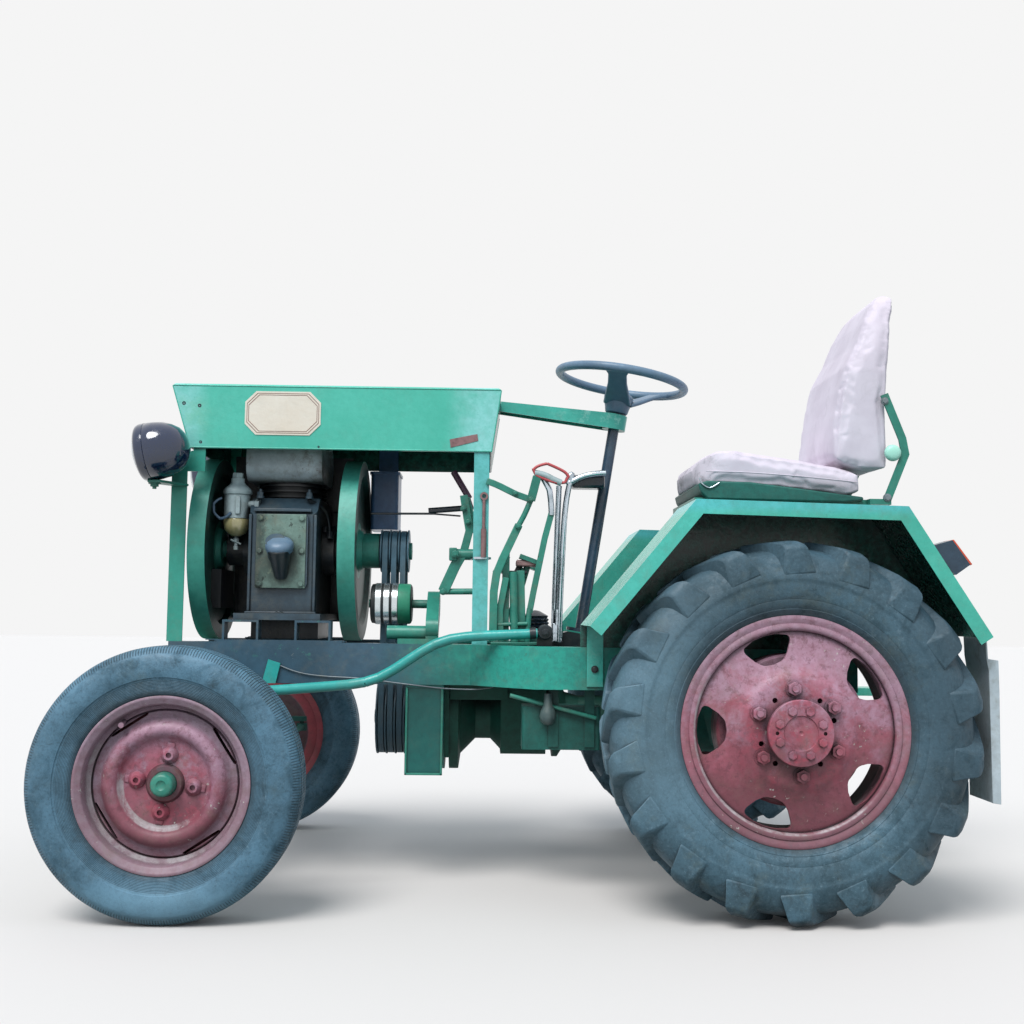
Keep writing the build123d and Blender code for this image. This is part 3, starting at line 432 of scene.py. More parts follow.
def tyre_rubber(name, hub, fresh, stained, stains, rim, shade, lit=0.0, sipes=0):
    """Old rubber: grey-blue, rubbed with olive and brown dirt, with painted light and shade over
    its wall and in its grooves; sipes are cut round its edge.
    """
    f = Finish(name)
    along, up = f.part("X") - hub.x, f.part("Z") - hub.z
    reach = (along * along + up * up) ** 0.5
    wide = f.blotches(0.34, 0.66, 5.5, 7, 0.66)
    rubbed = f.blotches(0.40, 0.68, 18, 9, 0.74, warp=0.7)
    base = f.mix(wide * 0.55 + rubbed * 0.35, fresh, stained)
    washed = f.blotches(0.56, 0.74, 34, 6, 0.7) * f.blotches(0.42, 0.62, 4, 4, 0.6)
    base = f.mix(washed * 0.5, base, colour(134, 160, 174))
    base = f.mix(f.blotches(0.50, 0.70, 7, 9, 0.8) * stains, base, colour(98, 106, 92))
    base = f.mix(f.blotches(0.54, 0.70, 11, 8, 0.8, warp=1.0) * 0.6, base, colour(30, 42, 48))
    grit = f.noise(130, 5, 0.8)
    base = f.mix(f.ramp(grit, 0.50, 0.68) * 0.45, base, colour(30, 44, 52))
    base = f.mix(f.ramp(grit, 0.46, 0.30) * 0.30, base, colour(150, 178, 192))
    # Painted light: the front side of the wall, above its bottom, is made paler, by the lit amount.
    base = f.mix(f.ramp(along, 0.08, 0.30) * f.ramp(up, -0.30, -0.10) * lit, base,
                 colour(132, 164, 180))
    # Painted shadow of the fender on the lug tyre: the top of the wall is darker.
    base = f.mix(f.ramp(up + along * 0.3, 0.20, 0.36) * (0.4 if lit else 0.0), base,
                 colour(34, 50, 58))
    # Painted shade: the wall darkens towards its lower front, by the shade amount.
    low = f.ramp(up - along * 0.6 + (rubbed - 0.5) * 0.12, 0.12, 0.0 - shade)
    base = f.mix(low * 0.15, base, colour(26, 42, 50))
    inner = f.ramp(reach, rim + 0.046, rim + 0.040) * f.ramp(up, 0.02, 0.14)
    base = f.mix(inner * 0.35, base, colour(30, 46, 54))
    # Painted shade: the lug tyre darkens towards its rear.
    rear = f.ramp(along, -0.16, -0.36) * (0.6 if lit else 0.0)
    base = f.mix(rear, base, colour(34, 52, 62))
    bead = f.ramp(reach, rim + 0.020, rim + 0.006)
    base = f.mix(bead * 0.5, base, colour(34, 44, 50))
    # Painted shade in corners and between the lugs.
    base = f.mix(f.corners(0.05) * 0.85, base, colour(20, 28, 32))
    cracks = f.ramp(f.cells(150), 0.0, 0.25)
    height = cracks * 0.25 + f.noise(420, 3, 0.6) * 0.5 + rubbed * 0.5
    if sipes:
        base = f.mix(0.2, base, colour(44, 80, 94))
        # Painted light: the road tyre's lower part is made paler.
        base = f.mix(f.ramp(up, -0.20, -0.27) * 0.4, base, colour(140, 184, 208))
        turn = f.add("ShaderNodeMath", {"operation": "ARCTAN2"}, {0: up, 1: along})
        saw = f.add("ShaderNodeMath", {"operation": "FRACT"}, {0: turn * (sipes / (2 * pi))})
        slit = f.ramp(saw, 0.0, 0.22) * f.ramp(saw, 0.50, 0.28) * f.ramp(reach, 0.3045, 0.3085)
        rings = f.add("ShaderNodeMath", {"operation": "FRACT"}, {0: reach * 310})
        ring = f.ramp(rings, 0.1, 0.35) * f.ramp(rings, 0.75, 0.5) * f.ramp(reach, 0.247, 0.242)
        # The sipes and fine rings are painted dark as the shade inside them, and cut into the bump.
        base = f.mix(slit * 0.55, base, colour(20, 30, 34))
        base = f.mix(ring * 0.5, base, colour(36, 50, 58))
        height = height - slit * 2.2 - ring * 0.9
    f.set("Base Color", base)
    f.set("Roughness", f.ramp(rubbed, 0, 1, 0.52, 0.82))
    f.bump(height, 0.0008, 0.9)
    return f.material


def wheel_wear_and_shading(hub, size, dusty_rings, inside, boot, rim_dust):
    """Pink dust and a painted highlight up to the right, painted red-brown shade below, pale dust
    lying in the low rings.

    Radii are measured from the hub: size is the rim's, boot that of the hole round the cap, painted
    dark as shade, and inside is how far the paint goes in from the hub's middle before it is
    painted black as shade.
    """
    def wear(f, paint):
        along, up = f.part("X") - hub.x, f.part("Z") - hub.z
        reach = (along * along + up * up) ** 0.5
        rough = f.noise(13, 8, 0.74, warp=0.5)
        # Pink dust, laid on heavier towards the top, where it also stands as a painted highlight.
        dusty = f.ramp((up - along * 0.1) * (0.9 / size) + rough * 2.6, 1.00, 1.90)
        paint = f.mix(dusty * 0.62, paint, colour(198, 168, 190))
        # Painted shade: darker red-brown towards the bottom.
        dark = f.ramp(0 - up * (1.1 / size) + f.noise(9, 7, 0.7) * 2.4, 1.10, 1.95)
        paint = f.mix(dark * 0.55, paint, colour(80, 50, 56))
        red = f.blotches(0.48, 0.58, 16, 6, 0.7) * f.ramp(reach, size * 0.75, size * 0.30)
        paint = f.mix(red * 0.6, paint, colour(184, 72, 92))
        fine = f.blotches(0.50, 0.64, 48, 6, 0.75)
        paint = f.mix(fine * 0.5, paint, colour(92, 54, 64))
        flange = f.ramp(reach, size * 0.90, size * 0.93)
        paint = f.mix(flange * rim_dust, paint, colour(158, 146, 158))
        lying = f.ramp(along * 0.8 - up + (rough - 0.5) * 0.25, 0.02, 0.10)
        for inner, outer in dusty_rings:
            ring = f.ramp(reach, inner, inner + 0.003) * f.ramp(reach, outer, outer - 0.003)
            paint = f.mix(ring * lying * f.ramp(rough, 0.36, 0.56) * 0.85, paint,
                          colour(190, 184, 186))
        spots = f.blotches(0.66, 0.70, 85, 3, 0.6) * f.blotches(0.45, 0.6, 6, 4, 0.6)
        paint = f.mix(spots * 0.9, paint, colour(206, 208, 198))
        # Painted shade: deep inner parts and the hole round the cap are painted nearly black.
        across = abs(f.part("Y"))
        hidden = f.ramp(across, hub.y - inside, hub.y - inside - 0.010)
        if inside:
            well = f.ramp(reach, size * 0.76, size * 0.80) * f.ramp(reach, size * 0.92, size * 0.90)
            paint = f.mix(well * f.ramp(rough, 0.3, 0.6) * 0.55, paint, colour(180, 164, 178))
            paint = f.mix(hidden * f.ramp(reach, size * 0.80, size * 0.84), paint,
                          colour(184, 82, 92))
            hidden = hidden * f.ramp(reach, size * 0.84, size * 0.80)
        hidden = hidden + f.ramp(reach, boot + 0.001, boot) * 0.9
        return f.mix(hidden * 0.85, paint, colour(26, 22, 24))
    return wear


def engine_far_side_shade(f, paint):
    """Everything on the engine's far side and under its sump is painted black as shade."""
    far = f.ramp(f.part("Y"), 0.120, 0.060)
    low = f.ramp(f.part("Z"), 0.7070, 0.7050)
    return f.mix(far * 0.88 + low * 0.85 - far * low * 0.80, paint, colour(14, 18, 22))


def dark_below(f, paint):
    """The column's arm has painted shade along its lower fold and is rubbed pale towards the
    column.
    """
    slope = f.part("Z") - f.part("X") * 0.11
    rough = f.noise(30, 7, 0.75)
    worn = f.ramp(rough, 0.50, 0.64) * f.ramp(f.part("X"), -0.05, -0.20)
    paint = f.mix(worn * 0.6, paint, colour(170, 226, 214))
    # Painted shade along the lower fold.
    return f.mix(f.ramp(slope, 1.309, 1.305) * 0.85, paint, colour(12, 50, 50))


def pale_rear_posts(f, paint):
    """The rear posts are painted paler than the front ones."""
    return f.mix(f.ramp(f.part("X"), 0.4, 0.3) * 0.5, paint, colour(140, 232, 240))


def tank_shade_and_scorch(f, paint):
    """The tank is painted dark as shade round its belly and towards its rear end."""
    along, up = f.part("X") + f.noise(12, 5, 0.6) * 0.05, f.part("Z") + f.noise(9, 5, 0.6) * 0.05
    dark = f.ramp(along, 0.610, 0.570) + f.ramp(up, 1.135, 1.085)
    scorched = f.blotches(0.50, 0.62, 14, 7, 0.75) * f.ramp(along, 0.72, 0.66)
    paint = f.mix(scorched * 0.5, paint, colour(104, 84, 76))
    # Painted shade round the belly and towards the rear end.
    return f.mix(dark * 0.9, paint, colour(20, 26, 32))


def hood_shade_and_highlights(f, paint):
    """The hood's inner faces are painted nearly black as shade; painted highlights lie at both its
    ends and in a pale patch near its front.
    """
    across = abs(f.part("Y"))
    inner = f.ramp(across, 0.2500, 0.2490) * f.ramp(f.part("Z"), 1.3515, 1.3505)
    # Painted highlights at both ends of the hood.
    ends = f.ramp(f.part("X"), 0.85, 0.93) + f.ramp(f.part("X"), 0.22, 0.12)
    paint = f.mix(ends * f.blotches(0.2, 0.5, 8, 5, 0.6) * 0.75, paint, colour(170, 236, 236))
    # A painted highlight patch near the front.
    patch = f.ramp(f.part("X"), 0.84, 0.90) * f.ramp(f.part("Z"), 1.20, 1.25)
    patch = patch * f.blotches(0.36, 0.62, 14, 6, 0.7) * f.ramp(f.part("Z"), 1.335, 1.30)
    paint = f.mix(patch * 0.6, paint, colour(128, 208, 178))
    # Painted shade: the inner faces are nearly black.
    return f.mix(inner * 0.93, paint, colour(8, 26, 28))


def fender_shade_and_sheen(f, paint):
    """The fender's faces towards the tyre are painted brown-black as shade; faces turned up, its
    top band and its front slope carry a painted sky sheen and highlights; its top is scuffed and
    dusty.
    """
    facing = f.add("ShaderNodeTexCoord", out="Normal")
    across = abs(f.part("Y"))
    below = f.ramp(across, 0.6985, 0.6975) * f.ramp(f.part("Z", facing), 0.02, -0.12)
    outward = f.part("Y") * f.part("Y", facing)
    wall = f.ramp(outward, 0.1, 0.2) * f.ramp(across, 0.4055, 0.4045)
    worn = f.blotches(0.4, 0.62, 7, 7, 0.7) * f.ramp(f.part("Z", facing), 0.2, 0.5)
    # Painted sheen: faces turned up take a pale sky-blue reflection.
    paint = f.mix(f.ramp(f.part("Z", facing), 0.6, 0.9) * 0.45, paint, colour(150, 214, 216))
    # Painted highlight on the sloping front of the fender.
    slope = f.ramp(outward, 0.2, 0.4) * f.ramp(f.part("X"), -0.52, -0.44)
    paint = f.mix(slope * 0.5, paint, colour(96, 222, 208))
    # Painted highlight: a cyan sky sheen along the top band.
    paint = f.mix(f.ramp(f.part("Z"), 0.97, 1.0) * 0.5, paint, colour(104, 214, 232))
    paint = f.mix(worn * 0.4, paint, colour(134, 186, 174))
    paint = f.mix(f.blotches(0.62, 0.68, 20, 8, 0.75) * 0.6, paint, colour(60, 92, 86))
    # Painted shade: the underside and the inner wall facing the tyre are brown-black.
    return f.mix(below * 0.95 + wall * 0.95 - below * wall * 0.95, paint, colour(22, 24, 26))


def darker_below(f, paint):
    """Painted shade darkens the belts and pulleys under the rails."""
    return f.mix(f.ramp(f.part("Z"), 0.64, 0.54) * 0.6, paint, colour(16, 34, 42))


def oily_door(f, paint):
    """The door is brown with oil round its spout and along its front and lower edges."""
    along, up = f.part("X") - 0.668, f.part("Z") - 0.860
    rough = f.noise(22, 8, 0.75)
    round_spout = f.ramp((along * along + up * up) ** 0.5 + (rough - 0.5) * 0.08, 0.075, 0.035)
    edge = f.ramp(along + (rough - 0.5) * 0.08, 0.040, 0.058)
    paint = f.mix(round_spout * 0.7, paint, colour(40, 50, 40))
    paint = f.mix(edge * 0.75, paint, colour(34, 48, 44))
    return f.mix(f.ramp(rough, 0.60, 0.68) * 0.5, paint, colour(166, 176, 146))


def dark_flywheel(f, paint):
    """Only the flywheels' rims and hub are green; their faces are painted near-black."""
    across, up = f.part("Y"), f.part("Z") - crank_height
    reach = (across * across + up * up) ** 0.5
    face = f.ramp(reach, 0.2605, 0.2595) * f.ramp(reach, 0.080, 0.082)
    return f.mix(face * 0.96, paint, colour(12, 18, 24))


def rail_fade(f, paint):
    """Slate at the front, green aft, brightest where boots have rubbed it."""
    along = f.part("X") + f.noise(9, 4, 0.6) * 0.12 - 0.06
    paint = f.mix(f.ramp(along, 0.42, 0.12), paint, colour(38, 148, 132))
    bright = f.ramp(along, 0.14, 0.02) * f.ramp(along, -0.20, -0.09)
    paint = f.mix(bright * 0.75, paint, colour(44, 186, 164))
    flaked = f.blotches(0.60, 0.64, 38, 7, 0.75) * f.ramp(f.part("Z"), 0.58, 0.64)
    return f.mix(flaked * 0.7, paint, colour(70, 150, 130))


def centre_of(node):
    """The middle of a node's box."""
    low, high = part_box(node)
    return (low + high) / 2


front_tyre_radius, rear_tyre_radius = 0.323, 0.460
front_hub, rear_hub = centre_of("front_tyre_left"), centre_of("rear_tyre_left")
front_hub.z, rear_hub.z = front_tyre_radius, rear_tyre_radius

green_light, green_deep = (92, 206, 184), (44, 158, 136)
shade_light, shade_deep = (24, 108, 98), (4, 40, 38)
green_paint = enamel("green_enamel", green_light, green_deep, chips=0.35, dust=0.22, gloss=0.26)
hood_paint = enamel("hood_enamel", green_light, (62, 182, 158), chips=0.12, dust=0.10,
                    gloss=0.24, second=hood_shade_and_highlights, corner_shade=0.2)
post_paint = enamel("post_enamel", (62, 172, 152), (38, 138, 120), chips=0.4, dust=0.25,
                    gloss=0.3, second=pale_rear_posts)
support_paint = enamel("support_enamel", (74, 190, 172), (44, 150, 134), chips=0.4, dust=0.2,
                       gloss=0.3, second=dark_below)
fender_paint = enamel("fender_enamel", (86, 200, 178), (48, 162, 142), chips=0.4,
                      dust=0.25, second=fender_shade_and_sheen, gloss=0.26)
flywheel_paint = enamel("flywheel_enamel", (76, 172, 154), (34, 118, 104), chips=0.2,
                        dust=0.15, second=dark_flywheel, gloss=0.45)
shade_green = enamel("shaded_green_enamel", shade_light, shade_deep, chips=0.4, dust=0.08,
                     corner_shade=0.8, gloss=0.55)
# Painted shade: a near-black copy of the green paint, for the gearbox and clutch cover low under
# the tractor.
shaded_gearbox_green = enamel("shaded_gearbox_enamel", (8, 84, 70), (2, 26, 24), chips=0.3, dust=0.03,
                       corner_shade=0.8, gloss=0.65)
plate_green = enamel("plate_enamel", (12, 104, 98), (6, 70, 68), chips=0.2, dust=0.1,
                     corner_shade=0.6, gloss=0.4)
cradle_green = enamel("cradle_enamel", (20, 150, 140), (12, 100, 96), chips=0.2, dust=0.1,
                      corner_shade=0.3, gloss=0.35)
lever_green = enamel("lever_green_enamel", (58, 152, 132), (24, 98, 86), chips=0.7,
                     dust=0.4, gloss=0.36)
slate_paint = enamel("slate_enamel", (66, 100, 120), (40, 64, 78), chips=0.3, dust=0.3,
                     second=rail_fade, metal=(110, 124, 126))
teal_paint = enamel("teal_enamel", (62, 182, 176), (32, 144, 136), chips=0.3, dust=0.25,
                    gloss=0.28, metal=(120, 112, 112))
front_maroon = enamel("front_maroon_enamel", (174, 102, 118), (116, 62, 74), chips=0.5,
                      dust=0.3, corner_shade=0.6, gloss=0.5, metal=(60, 44, 46),
                      second=wheel_wear_and_shading(front_hub, size=0.19, inside=0.020, boot=0.0455,
                                        dusty_rings=((0.096, 0.112), (0.172, 0.186)),
                                        rim_dust=0.55))
rear_maroon = enamel("rear_maroon_enamel", (178, 100, 116), (124, 58, 68), chips=0.6,
                     dust=0.25, corner_shade=0.9, gloss=0.45, metal=(84, 50, 52),
                     second=wheel_wear_and_shading(rear_hub, size=0.26, inside=0.0, boot=-0.1,
                                       dusty_rings=((0.236, 0.246),), rim_dust=0.2))
maroon_paint = enamel("maroon_enamel", (150, 92, 104), (110, 58, 66), chips=0.5,
                      dust=0.3, corner_shade=0.8, gloss=0.5)
black_paint = enamel("black_enamel", (36, 50, 64), (16, 24, 32), chips=0.1, dust=0.12,
                     gloss=0.2)
column_paint = enamel("column_enamel", (62, 86, 108), (24, 38, 52), chips=0.35, dust=0.2,
                      gloss=0.25, metal=(120, 140, 152))
box_blue = enamel("box_blue", (84, 126, 176), (36, 62, 96), chips=0.3, dust=0.1, gloss=0.3,
                  metal=(120, 160, 190))
engine_paint = enamel("engine_grey", (70, 94, 108), (36, 50, 60), chips=0.35, dust=0.35,
                      corner_shade=0.95, gloss=0.35, second=engine_far_side_shade)
dark_iron = enamel("oily_iron", (42, 54, 62), (18, 26, 30), chips=0.3, dust=0.3, corner_shade=0.9)
oily_black = enamel("oily_black", (26, 34, 40), (10, 14, 18), chips=0.2, dust=0.2,
                    corner_shade=0.9)
olive_plate = enamel("olive_plate", (134, 164, 152), (40, 62, 58), chips=1.1, dust=0.6,
                     corner_shade=0.9, gloss=0.4, metal=(34, 42, 38), second=oily_door)
tank_steel = enamel("rusty_tank", (238, 250, 255), (166, 178, 186), chips=1.0, dust=0.5,
                    corner_shade=0.5, gloss=0.35, metal=(120, 92, 84), second=tank_shade_and_scorch)
pale_alloy = enamel("pale_casting", (212, 230, 232), (132, 150, 152), chips=0.6, dust=0.5,
                    corner_shade=0.95, gloss=0.35, metal=(84, 84, 72))
rough_alloy = enamel("rough_alloy", (96, 116, 116), (50, 70, 70), chips=0.6, dust=0.4)
bare_steel = enamel("bare_steel", (150, 160, 166), (92, 104, 112), chips=0.4, dust=0.4,
                    gloss=0.35)
red_paint = enamel("red_plastic", (214, 96, 98), (176, 64, 70), chips=0.2, dust=0.2)
pink_pad = enamel("worn_pad", (196, 152, 150), (140, 96, 96), chips=0.8, dust=0.5)
wheel_plastic = enamel("blue_grey_plastic", (112, 140, 164), (74, 98, 122), chips=0.0,
                       dust=0.15, gloss=0.4)
flap_rubber = enamel("grey_flap", (214, 226, 232), (158, 170, 176), chips=0.2, dust=0.5,
                     gloss=0.7)
belt_rubber = enamel("belt_rubber", (104, 148, 170), (52, 76, 90), chips=0.1, dust=0.2,
                     gloss=0.5, second=darker_below)
cream_plate = enamel("cream_plate", (246, 238, 224), (236, 220, 200), chips=0.0, dust=0.08,
                     gloss=0.4)
brown_line = enamel("brown_line", (150, 104, 92), (120, 84, 76), chips=0.0, dust=0.1)
lamp_red = enamel("orange_lens", (240, 104, 66), (206, 70, 46), chips=0.0, dust=0.1,
                  gloss=0.15)
mint_knob = enamel("mint_knob", (190, 244, 226), (160, 220, 200), chips=0.0, dust=0.1)


def plain_finish(name, base, roughness, metallic=0.0, coat=0.0, mottle=0.15):
    """A simple surface with a little soot on it and painted shade in its corners."""
    f = Finish(name, metallic=metallic, coat_weight=coat)
    soot = f.blotches(0.42, 0.7, 24, 7, 0.7)
    # Soot in blotches, and painted shade in the corners.
    f.set("Base Color", f.mix(soot * mottle + f.corners(0.03) * 0.5, base, oil_and_shade_black))
    f.set("Roughness", f.ramp(soot, 0, 1, roughness, roughness + 0.25))
    f.bump(soot * 0.5 + f.noise(200, 3, 0.6) * 0.2, 0.0005, 0.6)
    return f.material


chrome = plain_finish("scratched_chrome", colour(206, 218, 228), 0.16, metallic=1.0, mottle=0.35)
# Glossy black lamp paint; its navy tint is a painted sky reflection.
sky_tinted_gloss_black = plain_finish("glossy_black_sky_tinted", colour(12, 36, 70), 0.08, coat=1.0, mottle=0.05)
lens_glass = plain_finish("lens_glass", colour(206, 218, 224), 0.08, coat=1.0)
amber_glass = plain_finish("amber_bowl", colour(190, 180, 130), 0.12, coat=1.0, mottle=0.3)
front_rubber = tyre_rubber("road_tyre_rubber", front_hub, colour(104, 148, 174),
                           colour(46, 72, 86), stains=0.3, rim=0.206, shade=0.33, sipes=300)
rear_rubber = tyre_rubber("lug_tyre_rubber", rear_hub, colour(84, 120, 138),
                          colour(44, 66, 74), stains=0.5, rim=0.272, shade=0.60, lit=0.30)


# ================================================================ wheels
def make_front_tyre():
    """A road tyre: a ringed flat wall, a step, a full bulge and ribs with grooves between."""
    half = [
        (0.0575, 0.203), (0.0600, 0.2085), (0.0640, 0.2120), (0.0664, 0.2180), (0.0676, 0.2260),
        (0.0688, 0.2360), (0.0704, 0.2480), (0.0710, 0.2495), (0.0726, 0.2505), (0.0738, 0.2560),
        (0.0748, 0.2640), (0.0746, 0.2740), (0.0728, 0.2860), (0.0704, 0.2950), (0.0680, 0.3005),
        (0.0668, 0.3020), (0.0625, 0.3085), (0.0570, 0.3150), (0.0490, 0.3200), (0.0400, 0.3222),
        (0.0390, 0.3165), (0.0345, 0.3165), (0.0335, 0.3228), (0.0185, 0.3230), (0.0175, 0.3170),
        (0.0130, 0.3170), (0.0120, 0.3230),
    ]
    profile = half + [(-a, r) for a, r in reversed(half)]
    return lathe("front_tyre_rubber_left", profile, front_hub, Y, 160, 30, across=down)


def make_lug():
    """One lug, hanging straight down from the left tyre: wider at its root than on top."""
    outer = [(0.0010, 0.4550), (0.0350, 0.4550), (0.0700, 0.4535), (0.0860, 0.4500),
             (0.0965, 0.4420), (0.1028, 0.4330), (0.1042, 0.4100), (0.1046, 0.3900),
             (0.1040, 0.3700)]
    inner = [(0.0950, 0.3660), (0.0800, 0.4000), (0.0600, 0.4180), (0.0010, 0.4240)]
    half, trail = 0.0210, 0.096
    crown, depth = 0.453, 0.083
    lug = chain("lug", [rear_hub + Y * a + down * r + X * half for a, r in outer + inner],
                closed=True)
    bpy.ops.mesh.extrude_region_move(TRANSFORM_OT_translate={"value": -X * 2 * half})
    clean_up()
    settle(lug, 0)
    for radius in {r for a, r in outer + inner if r < crown}:
        wide = 1.06 + 0.85 * min((crown - radius) / depth, 1)
        choose(lug, lambda co: abs(rear_hub.z - co.z - radius) < 1e-5)
        bpy.ops.transform.resize(value=(wide, 1, 1), center_override=rear_hub)
    for across in {a for a, r in outer + inner}:
        choose(lug, lambda co: abs(co.y - rear_hub.y - across) < 1e-5)
        bpy.ops.transform.translate(value=X * (trail * min(across / 0.1, 1) - 0.046))
    settle(lug)
    return bevel(lug, 0.0045, 2)


def make_rear_tyre():
    """A tractor tyre: a smooth carcass under two rows of slanting lugs."""
    half = [
        (0.0765, 0.266), (0.0800, 0.276), (0.0850, 0.283), (0.0900, 0.290), (0.0895, 0.2915),
        (0.0925, 0.296), (0.0985, 0.312), (0.0980, 0.3135), (0.1010, 0.320), (0.1030, 0.335),
        (0.1034, 0.350), (0.1030, 0.357), (0.1044, 0.3600), (0.1046, 0.3650), (0.1034, 0.3720),
        (0.1000, 0.3850), (0.0950, 0.3980), (0.0880, 0.4110), (0.0790, 0.4220), (0.0660, 0.4310),
        (0.0460, 0.4370), (0.0200, 0.4390), (0.0050, 0.4390),
    ]
    profile = half + [(-a, r) for a, r in reversed(half)]
    carcass = lathe("rear_tyre_rubber_left", profile, rear_hub, Y, 120, 40, across=down)
    lug = make_lug()
    count, phase = 18, 6.5
    pitch = 360 / count
    inner_lug = copy_of(lug, Matrix.Translation(2 * rear_hub.y * Y) @ Matrix.Scale(-1, 4, Y))
    outer_row = around(lug, [phase + pitch * i for i in range(count)], rear_hub, Y)
    inner_row = around(inner_lug, [phase + pitch * (i + 0.5) for i in range(count)], rear_hub, Y)
    return settle(join("rear_tyre_rubber_left", carcass, outer_row, inner_row), 40)


def dial(hub, angle, radius, across):
    """A place on a left wheel: the angle runs from straight forward, up over the top."""
    turn = radians(angle)
    return Vector((hub.x + radius * cos(turn), hub.y + across, hub.z + radius * sin(turn)))


def nut(place, across_flats, height, washer=0.0, stud=0.0, out=Y):
    """A hexagon nut facing outwards on its washer, its stud standing proud."""
    place = Vector(place)
    parts = []
    if washer:
        parts.append(rod("washer", place - out * 0.004, place + out * 0.003, washer, 24))
    parts.append(bevel(rod("nut", place, place + out * height, across_flats / 1.732, 6), 0.0012))
    if stud:
        parts.append(rod("stud", place, place + out * (height + stud), across_flats * 0.27, 16))
    return join("nut", parts)


def make_front_wheel():
    """A pressed car wheel: lipped rim, slotted disc with a raised ring, bosses and drum."""
    rim = lathe("front_wheel_pressed_left", [
        (0.0575, 0.2030), (0.0600, 0.2080), (0.0625, 0.2075), (0.0638, 0.2040), (0.0625, 0.2000),
        (0.0590, 0.1960), (0.0575, 0.1900), (0.0540, 0.1868), (0.0300, 0.1850), (0.0240, 0.1815),
        (0.0200, 0.1745), (-0.0200, 0.1725), (-0.0300, 0.1850), (-0.0560, 0.1870),
        (-0.0610, 0.2000), (-0.0600, 0.2080), (-0.0560, 0.2060), (-0.0540, 0.1940),
        (-0.0280, 0.1900), (-0.0180, 0.1770), (0.0180, 0.1775), (0.0270, 0.1890),
        (0.0545, 0.1915), (0.0575, 0.2030)], front_hub, Y, 120, 40, across=down)
    disc = lathe("disc", [
        (0.0060, 0.1735), (0.0150, 0.1725), (0.0190, 0.1690), (0.0205, 0.1600), (0.0240, 0.1530),
        (0.0330, 0.1450), (0.0400, 0.1380), (0.0430, 0.1290), (0.0415, 0.1200), (0.0350, 0.1120),
        (0.0250, 0.1065), (0.0215, 0.1020), (0.0210, 0.0950), (0.0210, 0.0200), (0.0170, 0.0200),
        (0.0170, 0.1000), (0.0190, 0.1060), (0.0300, 0.1150), (0.0365, 0.1220), (0.0385, 0.1290),
        (0.0360, 0.1360), (0.0290, 0.1420), (0.0200, 0.1510), (0.0160, 0.1600), (0.0120, 0.1680),
        (0.0060, 0.1700), (0.0060, 0.1735)], front_hub, Y, 120, 40, across=down)
    slot_tools = []
    for angle in (57, 147, 237, 327):
        tool = block("slot", (-0.050, -0.03, -0.0034), (0.050, 0.03, 0.0034))
        bevel(tool, 0.0030, 3, 60)
        place = dial(front_hub, angle, 0.1620, 0.018)
        slot_tools.append(copy_of(tool, Matrix.Translation(place)
                                  @ Matrix.Rotation(radians(90 - angle), 4, Y)))
        bpy.data.objects.remove(tool)
    cut(disc, *slot_tools)
    bosses = []
    for angle in (7, 97, 187, 277):
        place = dial(front_hub, angle, 0.067, 0.020)
        boss = lathe("boss", [(0.0, 0.0215), (0.0050, 0.0200), (0.0110, 0.0130), (0.0135, 0.0115),
                              (0.0135, 0.0065), (0.0070, 0.0060), (0.0070, 0.0)], place, Y, 24)
        rib = bevel(block("rib", (-0.016, -0.006, -0.010), (0.030, 0.0045, 0.010)), 0.004)
        inward = copy_of(rib, Matrix.Translation(place) @ Matrix.Rotation(radians(-angle), 4, Y))
        bpy.data.objects.remove(rib)
        bosses += [boss, inward]
    drum = lathe("drum", [(-0.046, 0.030), (-0.046, 0.186), (-0.040, 0.186), (-0.038, 0.122),
                          (0.006, 0.122), (0.012, 0.116), (0.012, 0.030)], front_hub, Y, 64)
    boot = lathe("boot", [(0.0180, 0.0300), (0.0180, 0.0460), (0.0240, 0.0450), (0.0300, 0.0400),
                          (0.0310, 0.0300)], front_hub, Y, 48)
    valve = rod("valve", dial(front_hub, 55, 0.176, 0.020), dial(front_hub, 54, 0.170, 0.045),
                0.005, 12)
    valve_cap = rod("valve_cap", dial(front_hub, 54, 0.1705, 0.044),
                    dial(front_hub, 54, 0.1695, 0.053), 0.0065, 12)
    return settle(join("front_wheel_pressed_left", rim, disc, bosses, drum, boot, valve,
                       valve_cap), 40)


def make_grease_cap():
    """The turned cap on a front hub, its end dished."""
    return lathe("front_hub_cap_left", [
        (0.0190, 0.0330), (0.0250, 0.0325), (0.0265, 0.0290), (0.0540, 0.0272),
        (0.0600, 0.0250), (0.0625, 0.0205), (0.0630, 0.0120), (0.0605, 0.0100), (0.0600, 0.0)],
        front_hub, Y, 48, 50, across=down)


